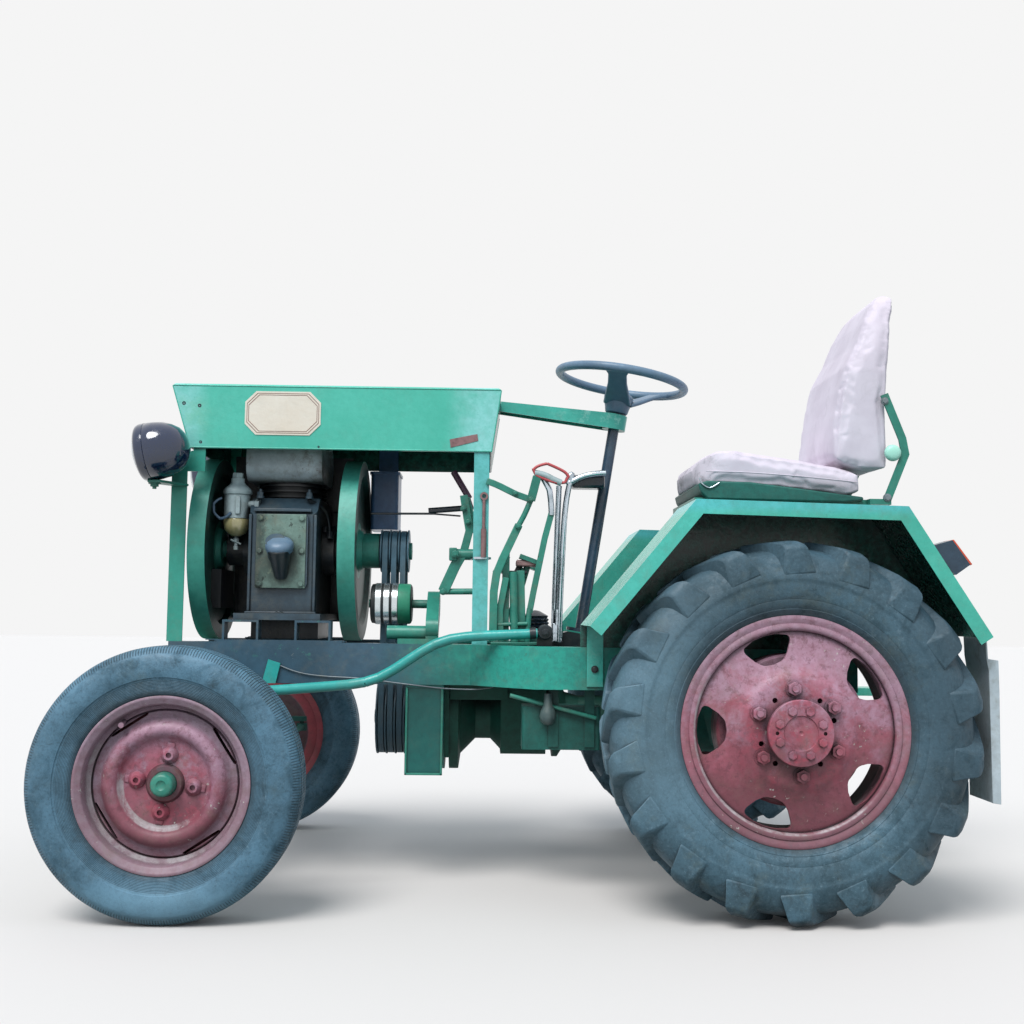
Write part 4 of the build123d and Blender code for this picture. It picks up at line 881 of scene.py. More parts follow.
def make_rear_wheel():
    """A truck wheel: flanged rim with a tubular lock ring and a disc with five hand holes."""
    rim = lathe("rear_wheel_pressed_left", [
        (0.0765, 0.2660), (0.0765, 0.2745), (0.0785, 0.2760), (0.0815, 0.2755), (0.0830, 0.2720),
        (0.0825, 0.2660), (0.0800, 0.2600), (0.0790, 0.2565), (0.0815, 0.2545), (0.0828, 0.2500),
        (0.0825, 0.2450), (0.0800, 0.2405), (0.0760, 0.2385), (0.0700, 0.2385), (0.0660, 0.2410),
        (0.0520, 0.2430), (-0.0700, 0.2430), (-0.0780, 0.2520), (-0.0820, 0.2700),
        (-0.0800, 0.2755), (-0.0760, 0.2740), (-0.0740, 0.2560), (-0.0680, 0.2500),
        (0.0600, 0.2500), (0.0740, 0.2540), (0.0765, 0.2660)], rear_hub, Y, 128, 40, across=down)
    disc = lathe("disc", [
        (0.0450, 0.2440), (0.0610, 0.2430), (0.0670, 0.2390), (0.0695, 0.2300), (0.0720, 0.2100),
        (0.0775, 0.1800), (0.0850, 0.1500), (0.0905, 0.1380), (0.0950, 0.1300), (0.0960, 0.1230),
        (0.0960, 0.0600), (0.0870, 0.0600), (0.0870, 0.1200), (0.0850, 0.1270), (0.0770, 0.1450),
        (0.0690, 0.1780), (0.0630, 0.2090), (0.0600, 0.2290), (0.0560, 0.2350), (0.0450, 0.2370),
        (0.0450, 0.2440)], rear_hub, Y, 128, 40, across=down)
    holes = []
    for angle in (0, 72, 144, 216, 288):
        outline = []
        for turn, radius in ((-14.5, 0.2290), (-7, 0.2345), (0, 0.2355), (7, 0.2345),
                             (14.5, 0.2290), (15.5, 0.2180), (12.5, 0.1880), (8, 0.1700),
                             (0, 0.1650), (-8, 0.1700), (-12.5, 0.1880), (-15.5, 0.2180)):
            outline.append(dial(rear_hub, turn + angle, radius, 0.035))
        tool = slab("hand_hole", outline, Y * 0.08)
        holes.append(bevel(tool, 0.008, 3, 20))
    cut(disc, *holes)
    hub = lathe("hub", [
        (0.0800, 0.0560), (0.1130, 0.0600), (0.1150, 0.0640), (0.1150, 0.0760), (0.1165, 0.0780),
        (0.1300, 0.0780), (0.1318, 0.0765), (0.1318, 0.0415), (0.1290, 0.0395), (0.1285, 0.0360),
        (0.1295, 0.0060), (0.1275, 0.0030), (0.1270, 0.0)], rear_hub, Y, 64, 40, across=down)
    nuts = [nut(dial(rear_hub, 25 + 60 * i, 0.1025, 0.096), 0.029, 0.017, 0.020, 0.007)
            for i in range(6)]
    bolts = [nut(dial(rear_hub, 22.5 + 45 * i, 0.0545, 0.1305), 0.019, 0.0060, 0.0115)
             for i in range(8)]
    drum = lathe("drum", [(-0.0400, 0.050), (-0.0400, 0.176), (-0.0360, 0.182), (0.0360, 0.182),
                          (0.0420, 0.176), (0.0440, 0.060)], rear_hub, Y, 64)
    dents = [rod("dent", dial(rear_hub, 18 + 36 * i, 0.091, 0.080),
                 dial(rear_hub, 18 + 36 * i, 0.091, 0.110), 0.0065, 16) for i in (1, 3, 4, 6, 8, 9)]
    cut(disc, *dents)
    cut(hub, *[rod("dent", dial(rear_hub, a, 0.0565, 0.125), dial(rear_hub, a, 0.0565, 0.145),
                   0.0045, 16) for a in (0, 180)])
    return settle(join("rear_wheel_pressed_left", rim, disc, hub, nuts, bolts, drum), 35)


def both_sides(make, finish, body, slot, node):
    """Makes a piece for the left wheel and its mirror image for the right."""
    left = make()
    right = mirror_image(left, left.name.replace("_left", "_right"))
    fit(left, finish, f"{body}_left", slot, *([f"{node}_left"] if node else []))
    fit(right, finish, f"{body}_right", slot, *([f"{node}_right"] if node else []))


both_sides(make_front_tyre, front_rubber, "front_wheel", "tyre_rubber", "front_tyre")
both_sides(make_rear_tyre, rear_rubber, "rear_wheel", "tyre_rubber", "rear_tyre")
both_sides(make_front_wheel, front_maroon, "front_wheel", "maroon_paint", "front_wheel")
both_sides(make_rear_wheel, rear_maroon, "rear_wheel", "maroon_paint", "rear_wheel")
both_sides(make_grease_cap, lever_green, "front_wheel", "green_paint", None)

# ================================================================ seat
def make_vinyl():
    """Pale lilac-grey vinyl, darkened by hands and oil at its front edge, with painted shade in its
    creases.
    """
    f = Finish("worn_vinyl")
    cloth = f.mix(f.blotches(0.35, 0.7, 4, 5, 0.6), colour(230, 219, 230), colour(212, 200, 212))
    worn = f.blotches(0.50, 0.76, 18, 7, 0.7, warp=0.5)
    cloth = f.mix(worn * 0.22, cloth, colour(170, 162, 166))
    stains = f.blotches(0.50, 0.66, 9, 8, 0.75) * f.ramp(f.part("X"), -0.62, -0.48)
    cloth = f.mix(stains * 0.7, cloth, colour(104, 104, 106))
    low = f.ramp(f.part("Z"), 1.135, 1.085) * f.blotches(0.3, 0.6, 14, 6, 0.7)
    cloth = f.mix(low * 0.5, cloth, colour(120, 112, 112))
    # Painted shade in the creases and corners of the cushions.
    cloth = f.mix(f.corners(0.03) * 0.4, cloth, colour(150, 136, 140))
    f.set("Base Color", cloth)
    f.set("Roughness", f.ramp(worn, 0, 1, 0.62, 0.8))
    grain = f.ramp(f.cells(420), 0.0, 0.6)
    f.bump(grain * 0.22 + f.noise(16, 4, 0.5) * 0.5, 0.0012, 0.4)
    return f.material


vinyl_finish = make_vinyl()


def inflate(cushion, voxel, pressure, reach):
    """Swells a cushion like a filled cover, then keeps each point within reach."""
    modify(cushion, "REMESH", mode="VOXEL", voxel_size=voxel)
    before = [v.co.copy() for v in cushion.data.vertices]
    pick(cushion)
    bpy.ops.object.modifier_add(type="CLOTH")
    cloth = cushion.modifiers[-1]
    settings = cloth.settings
    settings.use_pressure, settings.uniform_pressure_force = True, pressure
    settings.effector_weights.gravity = 0
    settings.tension_stiffness = settings.compression_stiffness = 12
    last = 20
    cloth.point_cache.frame_start, cloth.point_cache.frame_end = 1, last
    for step in range(1, last + 1):
        bpy.context.scene.frame_set(step)
    bpy.ops.object.modifier_apply(modifier=cloth.name)
    bpy.context.scene.frame_set(1)
    for vertex, start in zip(cushion.data.vertices, before):
        moved = vertex.co - start
        if moved.length > reach:
            vertex.co = start + moved.normalized() * reach
    return modify(cushion, "SUBSURF", levels=1)


def make_seat_cushion():
    """The pan-shaped cushion: its side outline (along, up) drawn out across the seat."""
    outline = [(-0.490, 1.100), (-0.486, 1.140), (-0.502, 1.168), (-0.542, 1.188), (-0.600, 1.191),
               (-0.789, 1.166), (-0.900, 1.146), (-0.948, 1.130), (-0.950, 1.082), (-0.909, 1.074),
               (-0.725, 1.092), (-0.560, 1.098), (-0.507, 1.094)]
    cushion = slab("seat_cushion_padded", [(x, -0.216, z) for x, z in outline], Y * 0.432)
    for side in (1, -1):
        cut(cushion, slab("corner", [(x, side * y, 1.0) for x, y in (
            (-0.45, 0.24), (-0.45, 0.12), (-0.488, 0.140), (-0.497, 0.180), (-0.516, 0.203),
            (-0.55, 0.240))], Z * 0.3))
    bevel(cushion, 0.022, 4, 60)
    inflate(cushion, 0.006, 1.5, 0.005)
    return settle(cushion, 60)


def make_seat_back():
    """The tall back, both its top corners rounded away."""
    outline = [(-0.883, 1.172), (-0.886, 1.240), (-0.892, 1.300), (-0.904, 1.370), (-0.921, 1.440),
               (-0.956, 1.507), (-0.984, 1.580), (-1.012, 1.636), (-1.044, 1.670), (-1.070, 1.678),
               (-1.080, 1.658), (-1.050, 1.581), (-1.029, 1.426), (-1.026, 1.340), (-1.026, 1.150),
               (-0.962, 1.148), (-0.905, 1.161)]
    back = slab("seat_back_padded", [(x, -0.217, z) for x, z in outline], Y * 0.434)
    for side in (1, -1):
        corner = slab("corner", [(-1.2, side * y, z) for y, z in (
            (0.240, 1.40), (0.240, 1.75), (0.040, 1.75), (0.076, 1.682), (0.130, 1.660),
            (0.168, 1.624), (0.194, 1.570), (0.211, 1.490), (0.220, 1.400))], X * 0.5)
        cut(back, corner)
    bevel(back, 0.014, 3, 50)
    inflate(back, 0.006, 1.6, 0.005)
    return settle(back, 60)


def make_piping():
    """The sewn edges of both cushions, on the left and the right."""
    parts = []
    for side in (1, -1):
        y = side * 0.2210
        parts.append(pipe("seam", [
            (-0.950, y - side * 0.0035, 1.176), (-0.956, y - side * 0.002, 1.300),
            (-0.966, y - side * 0.003, 1.372), (-0.984, y - side * 0.006, 1.440)], 0.0016, 0.03, 3))
        parts.append(pipe("seam", [
            (-0.515, y, 1.134), (-0.624, y, 1.133), (-0.778, y, 1.124), (-0.941, y, 1.109)],
            0.0013, 0.03, 3))
    return join("seat_piping", parts)


fit(make_seat_cushion(), vinyl_finish, "root", "seat_vinyl", "seat_cushion")
fit(make_seat_back(), vinyl_finish, "root", "seat_vinyl", "seat_back")
fit(make_piping(), vinyl_finish, "root", "seat_vinyl")

# ================================================================ engine
def make_door():
    """The inspection door with its six bolts; the oil filler, made on its own, stands on it."""
    door = bevel(block("door", (0.5975, 0.1865, 0.7940), (0.7355, 0.1905, 1.0000)), 0.0015)
    bolts = [nut((x, 0.1900, z), 0.013, 0.006, 0.0090) for x, z in (
        (0.609, 0.988), (0.608, 0.897), (0.609, 0.806), (0.724, 0.988), (0.725, 0.897),
        (0.724, 0.806))]
    return join("engine_door_cover", door, bolts)


def make_spout():
    """The oil spout, a cone leaning out from the door."""
    foot = Vector((0.6640, 0.1880, 0.8230))
    spout = rod("oil_spout", foot, (0.6655, 0.2220, 0.9020), 0.017, 32, tip=0.034)
    return bevel(spout, 0.003)


def make_filler_cap():
    """The domed plastic cap on the oil spout."""
    return lathe("filler_cap", [(-0.012, 0.020), (-0.010, 0.036), (0.000, 0.0390), (0.010, 0.0385),
                                (0.018, 0.0330), (0.023, 0.0200), (0.024, 0.0)],
                 (0.6655, 0.2150, 0.9060), (0, 0.5, 0.86), 48, 50)


def make_block_trim():
    """Ribs and bolts cast round the crankcase."""
    parts = [bevel(block("rib", (0.585, 0.170, 1.008), (0.745, 0.1790, 1.017)), 0.002),
             bevel(block("foot", (0.566, 0.160, 0.7065), (0.764, 0.1860, 0.7300)), 0.004),
             bevel(block("left_rib", (0.570, 0.170, 0.730), (0.578, 0.1780, 1.000)), 0.002),
             bevel(block("right_rib", (0.751, 0.170, 0.730), (0.759, 0.1780, 1.000)), 0.002),
             nut((0.667, 0.1855, 0.7190), 0.020, 0.008, 0.013)]
    for x in (0.596, 0.734):
        parts.append(nut((x, 0.150, 1.051), 0.016, 0.014, 0.011, 0.008, out=Z))
        parts.append(nut((x, 0.150, 0.7075), 0.018, 0.012, 0.012, 0.010, out=Z))
    for angle in range(0, 360, 60):
        turn = radians(angle + 30)
        for x, out in ((0.5080, -X), (0.8440, X)):
            parts.append(nut((x, 0.038 * cos(turn), crank_height + 0.038 * sin(turn)), 0.010,
                             0.005, 0.007, out=out))
    parts.append(block("side_sheet", (0.514, -0.176, 0.708), (0.8640, -0.170, 1.090)))
    parts.append(block("head_sheet", (0.506, -0.150, 1.036), (0.8640, -0.144, 1.200)))
    return join("engine_block_trim", parts)


def make_pipes():
    """Injection and leak pipes on the engine's near side."""
    return join(
        "engine_pipes",
        pipe("feed", [(0.7460, 0.130, 1.000), (0.7450, 0.135, 0.930), (0.7450, 0.165, 0.880),
                      (0.7500, 0.165, 0.780)], 0.0055, 0.02),
        pipe("return", [(0.600, 0.150, 1.045), (0.560, 0.120, 1.030), (0.545, 0.090, 0.990),
                        (0.545, 0.080, 0.950)], 0.0045, 0.02),
        nut((0.5450, 0.080, 0.944), 0.016, 0.016, 0.010, out=Z),
        nut((0.5600, 0.060, 0.963), 0.014, 0.012, 0.009, out=Z))


def make_filter():
    """The cast head of the fuel filter with its arm and hexagon plug."""
    head = lathe("head", [
        (0.988, 0.030), (0.990, 0.0370), (1.056, 0.0370), (1.058, 0.0400), (1.064, 0.0415),
        (1.070, 0.0405), (1.078, 0.0330), (1.086, 0.0235), (1.092, 0.0195), (1.104, 0.0185),
        (1.106, 0.010), (1.106, 0.0)], filter_axis, Z, 48, 40)
    plug = bevel(rod("plug", filter_axis + Z * 1.104, filter_axis + Z * 1.1195, 0.0165, 6),
                 0.0015)
    arm = rod("arm", (0.770, 0.135, 1.030), (0.738, 0.140, 1.030), 0.0110, 20)
    collar = bevel(rod("collar", (0.748, 0.138, 1.030), (0.736, 0.140, 1.030), 0.0155, 6), 0.001)
    drop = rod("drop", (0.7455, 0.139, 1.030), (0.7455, 0.139, 1.012), 0.0100, 20)
    screws = [nut((0.8020 + 0.0300 * cos(radians(t)), 0.130 + 0.0300 * sin(radians(t)), 1.066),
                  0.009, 0.006, 0.006, out=Z) for t in (30, 90, 150)]
    lug = bevel(block("lug", (0.786, 0.164, 1.000), (0.800, 0.1720, 1.050)), 0.003)
    return join("fuel_filter_head", head, plug, arm, collar, drop, screws, lug)


def make_bowl():
    """The filter's glass bowl."""
    return lathe("fuel_filter_bowl", [
        (0.9905, 0.0340), (0.9860, 0.0365), (0.972, 0.0370), (0.958, 0.0335), (0.948, 0.0250),
        (0.940, 0.0130), (0.938, 0.0)], filter_axis, Z, 48, 60)


def make_drain():
    """The drain tap under the bowl, with its small lever."""
    return join("fuel_filter_tap",
                rod("stem", (0.802, 0.130, 0.942), (0.802, 0.130, 0.906), 0.0055, 16),
                bevel(rod("hex", (0.802, 0.130, 0.934), (0.802, 0.130, 0.924), 0.0095, 6), 0.001),
                rod("lever", (0.788, 0.136, 0.918), (0.816, 0.136, 0.930), 0.0030, 12),
                rod("nose", (0.802, 0.130, 0.912), (0.802, 0.130, 0.9015), 0.0075, 16))


for piece, finish, slot in (
        (make_door(), olive_plate, "engine_grey"),
        (make_spout(), dark_iron, "engine_grey"),
        (make_filler_cap(), wheel_plastic, "wheel_plastic"),
        (make_block_trim(), engine_paint, "engine_grey"),
        (make_pipes(), dark_iron, "bare_steel"),
        (rod("filter_green_union", (0.7455, 0.139, 1.016), (0.7455, 0.139, 0.996), 0.0115, 8),
         green_paint, "green_paint"),
        (pipe("filter_hose", [(0.842, 0.150, 1.046), (0.862, 0.156, 1.040), (0.866, 0.158, 1.020),
                              (0.856, 0.160, 0.990), (0.828, 0.164, 0.984),
                              (0.812, 0.168, 1.004)], 0.0042, 0.012),
         wheel_plastic, "wheel_plastic"),
        (make_drain(), pale_alloy, "bare_steel")):
    fit(piece, finish, "root", slot)
fit(make_filter(), pale_alloy, "root", "bare_steel", "fuel_filter")
fit(make_bowl(), amber_glass, "root", "bare_steel", "fuel_filter")


# ================================================================ belt drive and linkage
def make_idler():
    """The tensioner roller, its three running bands polished by the belts."""
    return lathe("belt_idler_roller", [
        (0.0000, 0.020), (0.0000, 0.0490), (0.0030, 0.0545), (0.0120, 0.0560), (0.0140, 0.0580),
        (0.0300, 0.0580), (0.0315, 0.0560), (0.0350, 0.0560), (0.0365, 0.0580), (0.0530, 0.0580),
        (0.0545, 0.0560), (0.0580, 0.0560), (0.0595, 0.0580), (0.0760, 0.0580), (0.0775, 0.0565),
        (0.1080, 0.0565), (0.1120, 0.0540), (0.1150, 0.0480), (0.1150, 0.020)],
        idler_centre, -X, 96, 35)


def polished_bands():
    """Steel where the belts run on the roller, green enamel behind them."""
    f = Finish("polished_roller")
    along = idler_centre[0] - f.part("X")
    bands = f.ramp(f.add("ShaderNodeMath", {"operation": "PINGPONG"}, {
        0: along - 0.0105, 1: 0.0115}), 0.0030, 0.0050) * f.ramp(along, 0.0770, 0.0765)
    bands = bands * f.ramp(along, 0.0125, 0.0135)
    rear = f.ramp(along, 0.0765, 0.0775) * f.ramp(along, 0.112, 0.111)
    paint = f.mix(rear, colour(26, 34, 36), colour(44, 136, 106))
    paint = f.mix(bands, paint, colour(214, 222, 224))
    f.set("Base Color", f.mix(f.blotches(0.5, 0.75, 30, 6, 0.7) * 0.4, paint, oil_and_shade_black))
    f.set("Metallic", bands * 0.9)
    f.set("Roughness", f.ramp(bands, 0, 1, 0.5, 0.22))
    return f.material


def bar(name, points, width, y, thick):
    """A flat bar bent through places (along, up) at a distance across the tractor."""
    left, right = [], []
    for i, (x, z) in enumerate(points):
        before = Vector(points[max(i - 1, 0)])
        after = Vector(points[min(i + 1, len(points) - 1)])
        run = (after - before).normalized()
        side = Vector((-run.y, run.x)) * width / 2
        left.append((x + side.x, y, z + side.y))
        right.append((x - side.x, y, z - side.y))
    return bevel(slab(name, left + right[::-1], Y * thick), 0.0015)


def pin(x, y, z, radius=0.011, length=0.030):
    """A pivot bolt across the tractor with a nut on its near end."""
    return join("pin", rod("shank", (x, y - length, z), (x, y, z), radius * 0.6, 16),
                nut((x, y, z), radius * 1.5, 0.008, radius, 0.004))


def make_bell_crank():
    """Two plates and a boss on the rear post's bracket, with their pins."""
    return join(
        "lever_linkage_plates",
        bar("upper", [(0.160, 1.060), (0.150, 1.000), (0.143, 0.960), (0.158, 0.900)],
            0.022, 0.186, 0.007),
        bar("upper_far", [(0.152, 1.055), (0.132, 0.985), (0.118, 0.930)], 0.016, 0.170, 0.006),
        bar("lower", [(0.160, 0.900), (0.182, 0.860), (0.213, 0.790)], 0.030, 0.190, 0.008),
        rod("boss", (0.196, 0.186, 0.894), (0.100, 0.186, 0.894), 0.0155, 24),
        bevel(block("cheek", (0.176, 0.168, 0.876), (0.198, 0.206, 0.912)), 0.003),
        rod("link", (0.214, 0.186, 0.790), (0.100, 0.186, 0.792), 0.0085, 16),
        pin(0.160, 0.196, 1.022, 0.009), pin(0.146, 0.194, 0.985, 0.009),
        pin(0.181, 0.208, 0.894, 0.012), pin(0.213, 0.200, 0.790, 0.010))


def make_gear_levers():
    """Lever A with its link to the post, and lever B, whose plated handle is made on its own."""
    return join(
        "gear_levers_bars",
        bar("a_top", [(-0.043, 1.110), (-0.026, 1.042)], 0.024, 0.246, 0.007),
        pipe("a_rod", [(-0.026, 0.250, 1.044), (-0.008, 0.250, 1.000), (0.010, 0.250, 0.968)],
             0.008, 0.01),
        bar("a_low", [(0.006, 0.975), (0.050, 0.880), (0.066, 0.840), (0.073, 0.790),
                      (0.074, 0.655)], 0.022, 0.246, 0.007),
        bar("link", [(0.096, 1.094), (0.079, 1.088), (0.060, 1.080), (0.015, 1.058),
                     (-0.026, 1.044)], 0.018, 0.252, 0.006),
        pin(-0.026, 0.262, 1.044, 0.009), pin(0.008, 0.256, 0.970, 0.009),
        pin(0.018, 0.262, 1.060, 0.008),
        bar("a_foot", [(0.040, 0.830), (0.056, 0.740), (0.052, 0.655)], 0.018, 0.236, 0.007),
        bar("b_low", [(-0.084, 1.010), (-0.066, 0.940), (-0.052, 0.870), (-0.036, 0.790),
                      (-0.026, 0.735)], 0.017, 0.228, 0.008),
        pipe("b_foot", [(-0.026, 0.232, 0.745), (-0.020, 0.232, 0.700), (-0.020, 0.232, 0.655)],
             0.008),
        bar("quadrant", [(0.040, 0.900), (0.040, 0.655)], 0.020, 0.224, 0.006),
        bar("quadrant_rear", [(0.000, 0.850), (-0.006, 0.655)], 0.022, 0.224, 0.006),
        rod("pedal_post", (0.020, 0.236, 0.846), (0.014, 0.236, 0.655), 0.0115, 20),
        bar("brace", [(0.060, 0.870), (0.046, 0.860)], 0.060, 0.240, 0.006),
        rod("tie", (0.072, 0.238, 0.700), (-0.02, 0.238, 0.704), 0.006, 12),
        bevel(block("base", (-0.060, 0.222, 0.646), (0.080, 0.278, 0.654)), 0.002))


fit(join("pedal_pad", bevel(block("pad", (-0.058, 0.160, 0.862), (0.012, 0.212, 0.880)), 0.005, 3),
         rod("pad_end", (-0.050, 0.170, 0.868), (-0.050, 0.206, 0.868), 0.011, 20)),
    pink_pad, "root", "maroon_paint")
fit(join("pedal_plate", bevel(block("plate", (-0.020, 0.156, 0.842), (0.052, 0.214, 0.850)), 0.002),
         rod("stalk", (0.000, 0.185, 0.866), (0.010, 0.185, 0.845), 0.008, 16)), dark_iron, "root",
    "bare_steel")
fit(make_idler(), polished_bands(), "belt_idler", "bare_steel", "belt_idler")
fit(make_bell_crank(), lever_green, "root", "green_paint", "lever_linkage")
fit(make_gear_levers(), lever_green, "root", "green_paint", "gear_levers")
fit(pipe("lever_b_handle", [(-0.050, 0.232, 1.118), (-0.072, 0.232, 1.096), (-0.083, 0.232, 1.050),
                            (-0.084, 0.232, 1.004)], 0.0085, 0.02), chrome, "root", "chrome_tube")
fit(pipe("lever_loop", [(-0.070, 0.250, 1.145), (-0.034, 0.250, 1.138), (-0.028, 0.250, 1.118),
                        (-0.060, 0.250, 1.102), (-0.110, 0.250, 1.088), (-0.130, 0.250, 1.098),
                        (-0.128, 0.250, 1.122), (-0.070, 0.250, 1.145)], 0.0042, 0.012),
    red_paint, "root", "maroon_paint")
fit(pipe("lever_grip", [(-0.036, 0.246, 1.118), (-0.060, 0.246, 1.116), (-0.092, 0.246, 1.098),
                        (-0.110, 0.246, 1.092)], 0.0095, 0.01), pale_alloy, "root", "bare_steel")
fit(rod("throttle_sleeve", (0.262, 0.100, 1.022), (0.160, 0.100, 1.031), 0.0085, 16),
    black_paint, "root", "black_paint")
fit(join("throttle_rod", rod("thin", (0.426, 0.100, 1.012), (0.240, 0.100, 1.014), 0.0032, 12),
         rod("thin_b", (0.262, 0.104, 1.014), (0.170, 0.104, 1.008), 0.0025, 12)),
    dark_iron, "root", "bare_steel")
fit(join("choke_rod", rod("outer", (0.193, 0.060, 1.140), (0.146, 0.070, 1.062), 0.0095, 16),
         rod("inner", (0.150, 0.070, 1.070), (0.136, 0.074, 1.030), 0.0050, 12)),
    plain_finish("purple_rod", colour(96, 62, 84), 0.4), "root", "maroon_paint")
fit(join("post_tool", rod("grip", (0.103, 0.2535, 0.884), (0.103, 0.2535, 0.962), 0.0075, 16),
         rod("shank", (0.103, 0.2535, 0.955), (0.103, 0.2535, 1.046), 0.0042, 12),
         lathe("eye", [(-0.003, 0.0060), (-0.003, 0.0110), (0.003, 0.0110), (0.003, 0.0060),
                       (-0.003, 0.0060)], (0.103, 0.2540, 1.052), Y, 24)),
    plain_finish("reddish_tool", colour(150, 112, 112), 0.5, mottle=0.3), "root", "maroon_paint")
fit(lathe("post_clamp", [(-0.003, 0.0250), (-0.003, 0.0290), (0.003, 0.0290), (0.003, 0.0250),
                         (-0.003, 0.0250)], (0.110, 0.2270, 0.882), Z, 32), chrome, "root",
    "chrome_tube")
fit(lathe("lever_bellows", [(0, 0.010), (0, 0.036), (0.006, 0.040), (0.010, 0.035), (0.016, 0.040),
                            (0.020, 0.035), (0.026, 0.039), (0.030, 0.034), (0.036, 0.037),
                            (0.040, 0.030), (0.050, 0.012), (0.052, 0.0)],
          (-0.046, 0.130, 0.690), Z, 40, 30), black_paint, "root", "black_paint")
fit(join("lever_tower", bevel(rod("cone", (-0.046, 0.130, 0.648), (-0.046, 0.130, 0.692), 0.044, 32,
                                  tip=0.036), 0.003),
         bevel(block("plinth", (-0.090, 0.090, 0.646), (-0.010, 0.170, 0.656)), 0.002)),
    shade_green, "root", "green_paint")


# ================================================================ steering
# The wheel's axis leans back from the column; the wheel is made flat and tilted onto it.
steering_hub = Vector((-0.3015, 0, 1.426))
steering_up = Vector((-0.1562, 0, 0.9877))
tilt = Matrix.Translation(steering_hub) @ steering_up.to_track_quat("Z", "Y").to_matrix().to_4x4()


def make_steering_wheel():
    """A moulded wheel: round rim, two dished blades and a conical boss."""
    deselect()
    bpy.ops.mesh.primitive_torus_add(major_radius=0.1865, minor_radius=0.0128, major_segments=96,
                                     minor_segments=20)
    rim = settle(named("rim"), 60)
    plan = [(0.018, 0.042), (0.060, 0.036), (0.110, 0.028), (0.150, 0.027), (0.184, 0.038)]
    drops = {0.018: -0.072, 0.060: -0.054, 0.110: -0.030, 0.150: -0.012, 0.184: -0.002}
    outline = [(r, w, 0) for r, w in plan] + [(r, -w, 0) for r, w in reversed(plan)]
    blade = slab("blade", outline, Z * 0.013, 0)
    for reach, drop in drops.items():
        choose(blade, lambda co: abs(co.x - reach) < 1e-4)
        bpy.ops.transform.translate(value=Z * (drop - 0.006))
    settle(blade)
    bevel(blade, 0.005, 3, 50)
    blades = around(blade, (170, 310), (0, 0, 0), Z)
    boss = lathe("boss", [(-0.100, 0.0), (-0.100, 0.030), (-0.096, 0.0335), (-0.080, 0.0370),
                          (-0.060, 0.0430), (-0.050, 0.0440), (-0.044, 0.0400), (-0.038, 0.0300),
                          (-0.036, 0.0)], (0, 0, 0), Z, 48, 50)
    wheel = join("steering_wheel_moulded", rim, blades, boss)
    return settle(copy_and_drop(wheel, tilt), 50)


def copy_and_drop(piece, matrix):
    """Moves a piece by a matrix and keeps its name."""
    twin = copy_of(piece, matrix)
    name = piece.name
    bpy.data.objects.remove(piece)
    twin.name = twin.data.name = name
    return twin


def make_collar():
    """The turned collar and nut between the column and the wheel."""
    low = steering_hub - steering_up * 0.132
    return join("steering_collar",
                lathe("ring", [(0, 0.010), (0, 0.0150), (0.006, 0.0165), (0.016, 0.0165),
                               (0.022, 0.0140), (0.034, 0.0140), (0.034, 0.008)],
                      low, steering_up, 32, 40),
                nut(low + steering_up * 0.010, 0.026, 0.010, out=steering_up))


def make_drag_link():
    """The long steering rod, swept up beside the rail from the knuckle to the drop arm."""
    return pipe("drag_link_tube", [
        (0.806, 0.440, 0.5155), (0.640, 0.385, 0.5250), (0.476, 0.344, 0.5370),
        (0.430, 0.335, 0.5415), (0.393, 0.331, 0.5500), (0.357, 0.330, 0.5660),
        (0.322, 0.330, 0.5890), (0.247, 0.330, 0.6390), (0.207, 0.330, 0.6570),
        (0.165, 0.330, 0.6665), (0.115, 0.330, 0.6710), (0.055, 0.330, 0.6740),
        (-0.044, 0.330, 0.6790)], 0.0138, 0.020, 3)


def make_drag_joints():
    """The drag link's two eyes with their necks and the rear pivot's nut."""
    front, rear = Vector((0.8295, 0.448, 0.513)), Vector((-0.0645, 0.330, 0.683))
    parts = [rod("neck", (0.812, 0.442, 0.5150), (0.800, 0.438, 0.5160), 0.0165, 24),
             rod("rear_neck", (-0.040, 0.330, 0.6800), (-0.062, 0.330, 0.6820), 0.0100, 24),
             rod("rear_clamp", (-0.024, 0.330, 0.6790), (-0.040, 0.330, 0.6800), 0.0150, 24)]
    parts.append(lathe("eye", [(-0.014, 0.0), (-0.014, 0.019), (-0.008, 0.0210), (0.008, 0.0210),
                               (0.014, 0.0185), (0.014, 0.0)], front, Z, 32, 40))
    parts.append(lathe("eye", [(-0.014, 0.0), (-0.014, 0.018), (-0.008, 0.0205), (0.006, 0.0205),
                               (0.010, 0.0170), (0.010, 0.0120), (0.014, 0.0115), (0.014, 0.0)],
                       rear, Y, 32, 40))
    parts.append(nut(rear + Y * 0.013, 0.017, 0.010, 0.012, 0.006))
    return join("drag_link_joints", parts)


fit(make_steering_wheel(), wheel_plastic, "steering_wheel", "wheel_plastic", "steering_wheel")
fit(make_collar(), bare_steel, "steering_wheel", "bare_steel", "steering_wheel")
fit(make_drag_link(), teal_paint, "drag_link", "green_paint", "drag_link")
fit(make_drag_joints(), dark_iron, "drag_link", "bare_steel", "drag_link")


def make_hand_rails():
    """Two bent tubes from the clutch tower up to the column."""
    return join(
        "hand_rail_tubes",
        pipe("near", [(-0.1145, 0.106, 0.652), (-0.118, 0.106, 0.800), (-0.132, 0.106, 1.110),
                      (-0.148, 0.105, 1.136), (-0.246, 0.101, 1.138)], 0.0085, 0.045, 4),
        pipe("far", [(-0.1005, 0.090, 0.652), (-0.104, 0.090, 0.820), (-0.1125, 0.090, 1.100)],
             0.0085, 0.03, 2),
        rod("clamp", (-0.110, 0.099, 0.700), (-0.111, 0.099, 0.744), 0.0145, 20),
        bevel(block("foot", (-0.126, 0.083, 0.652), (-0.094, 0.112, 0.706)), 0.004))


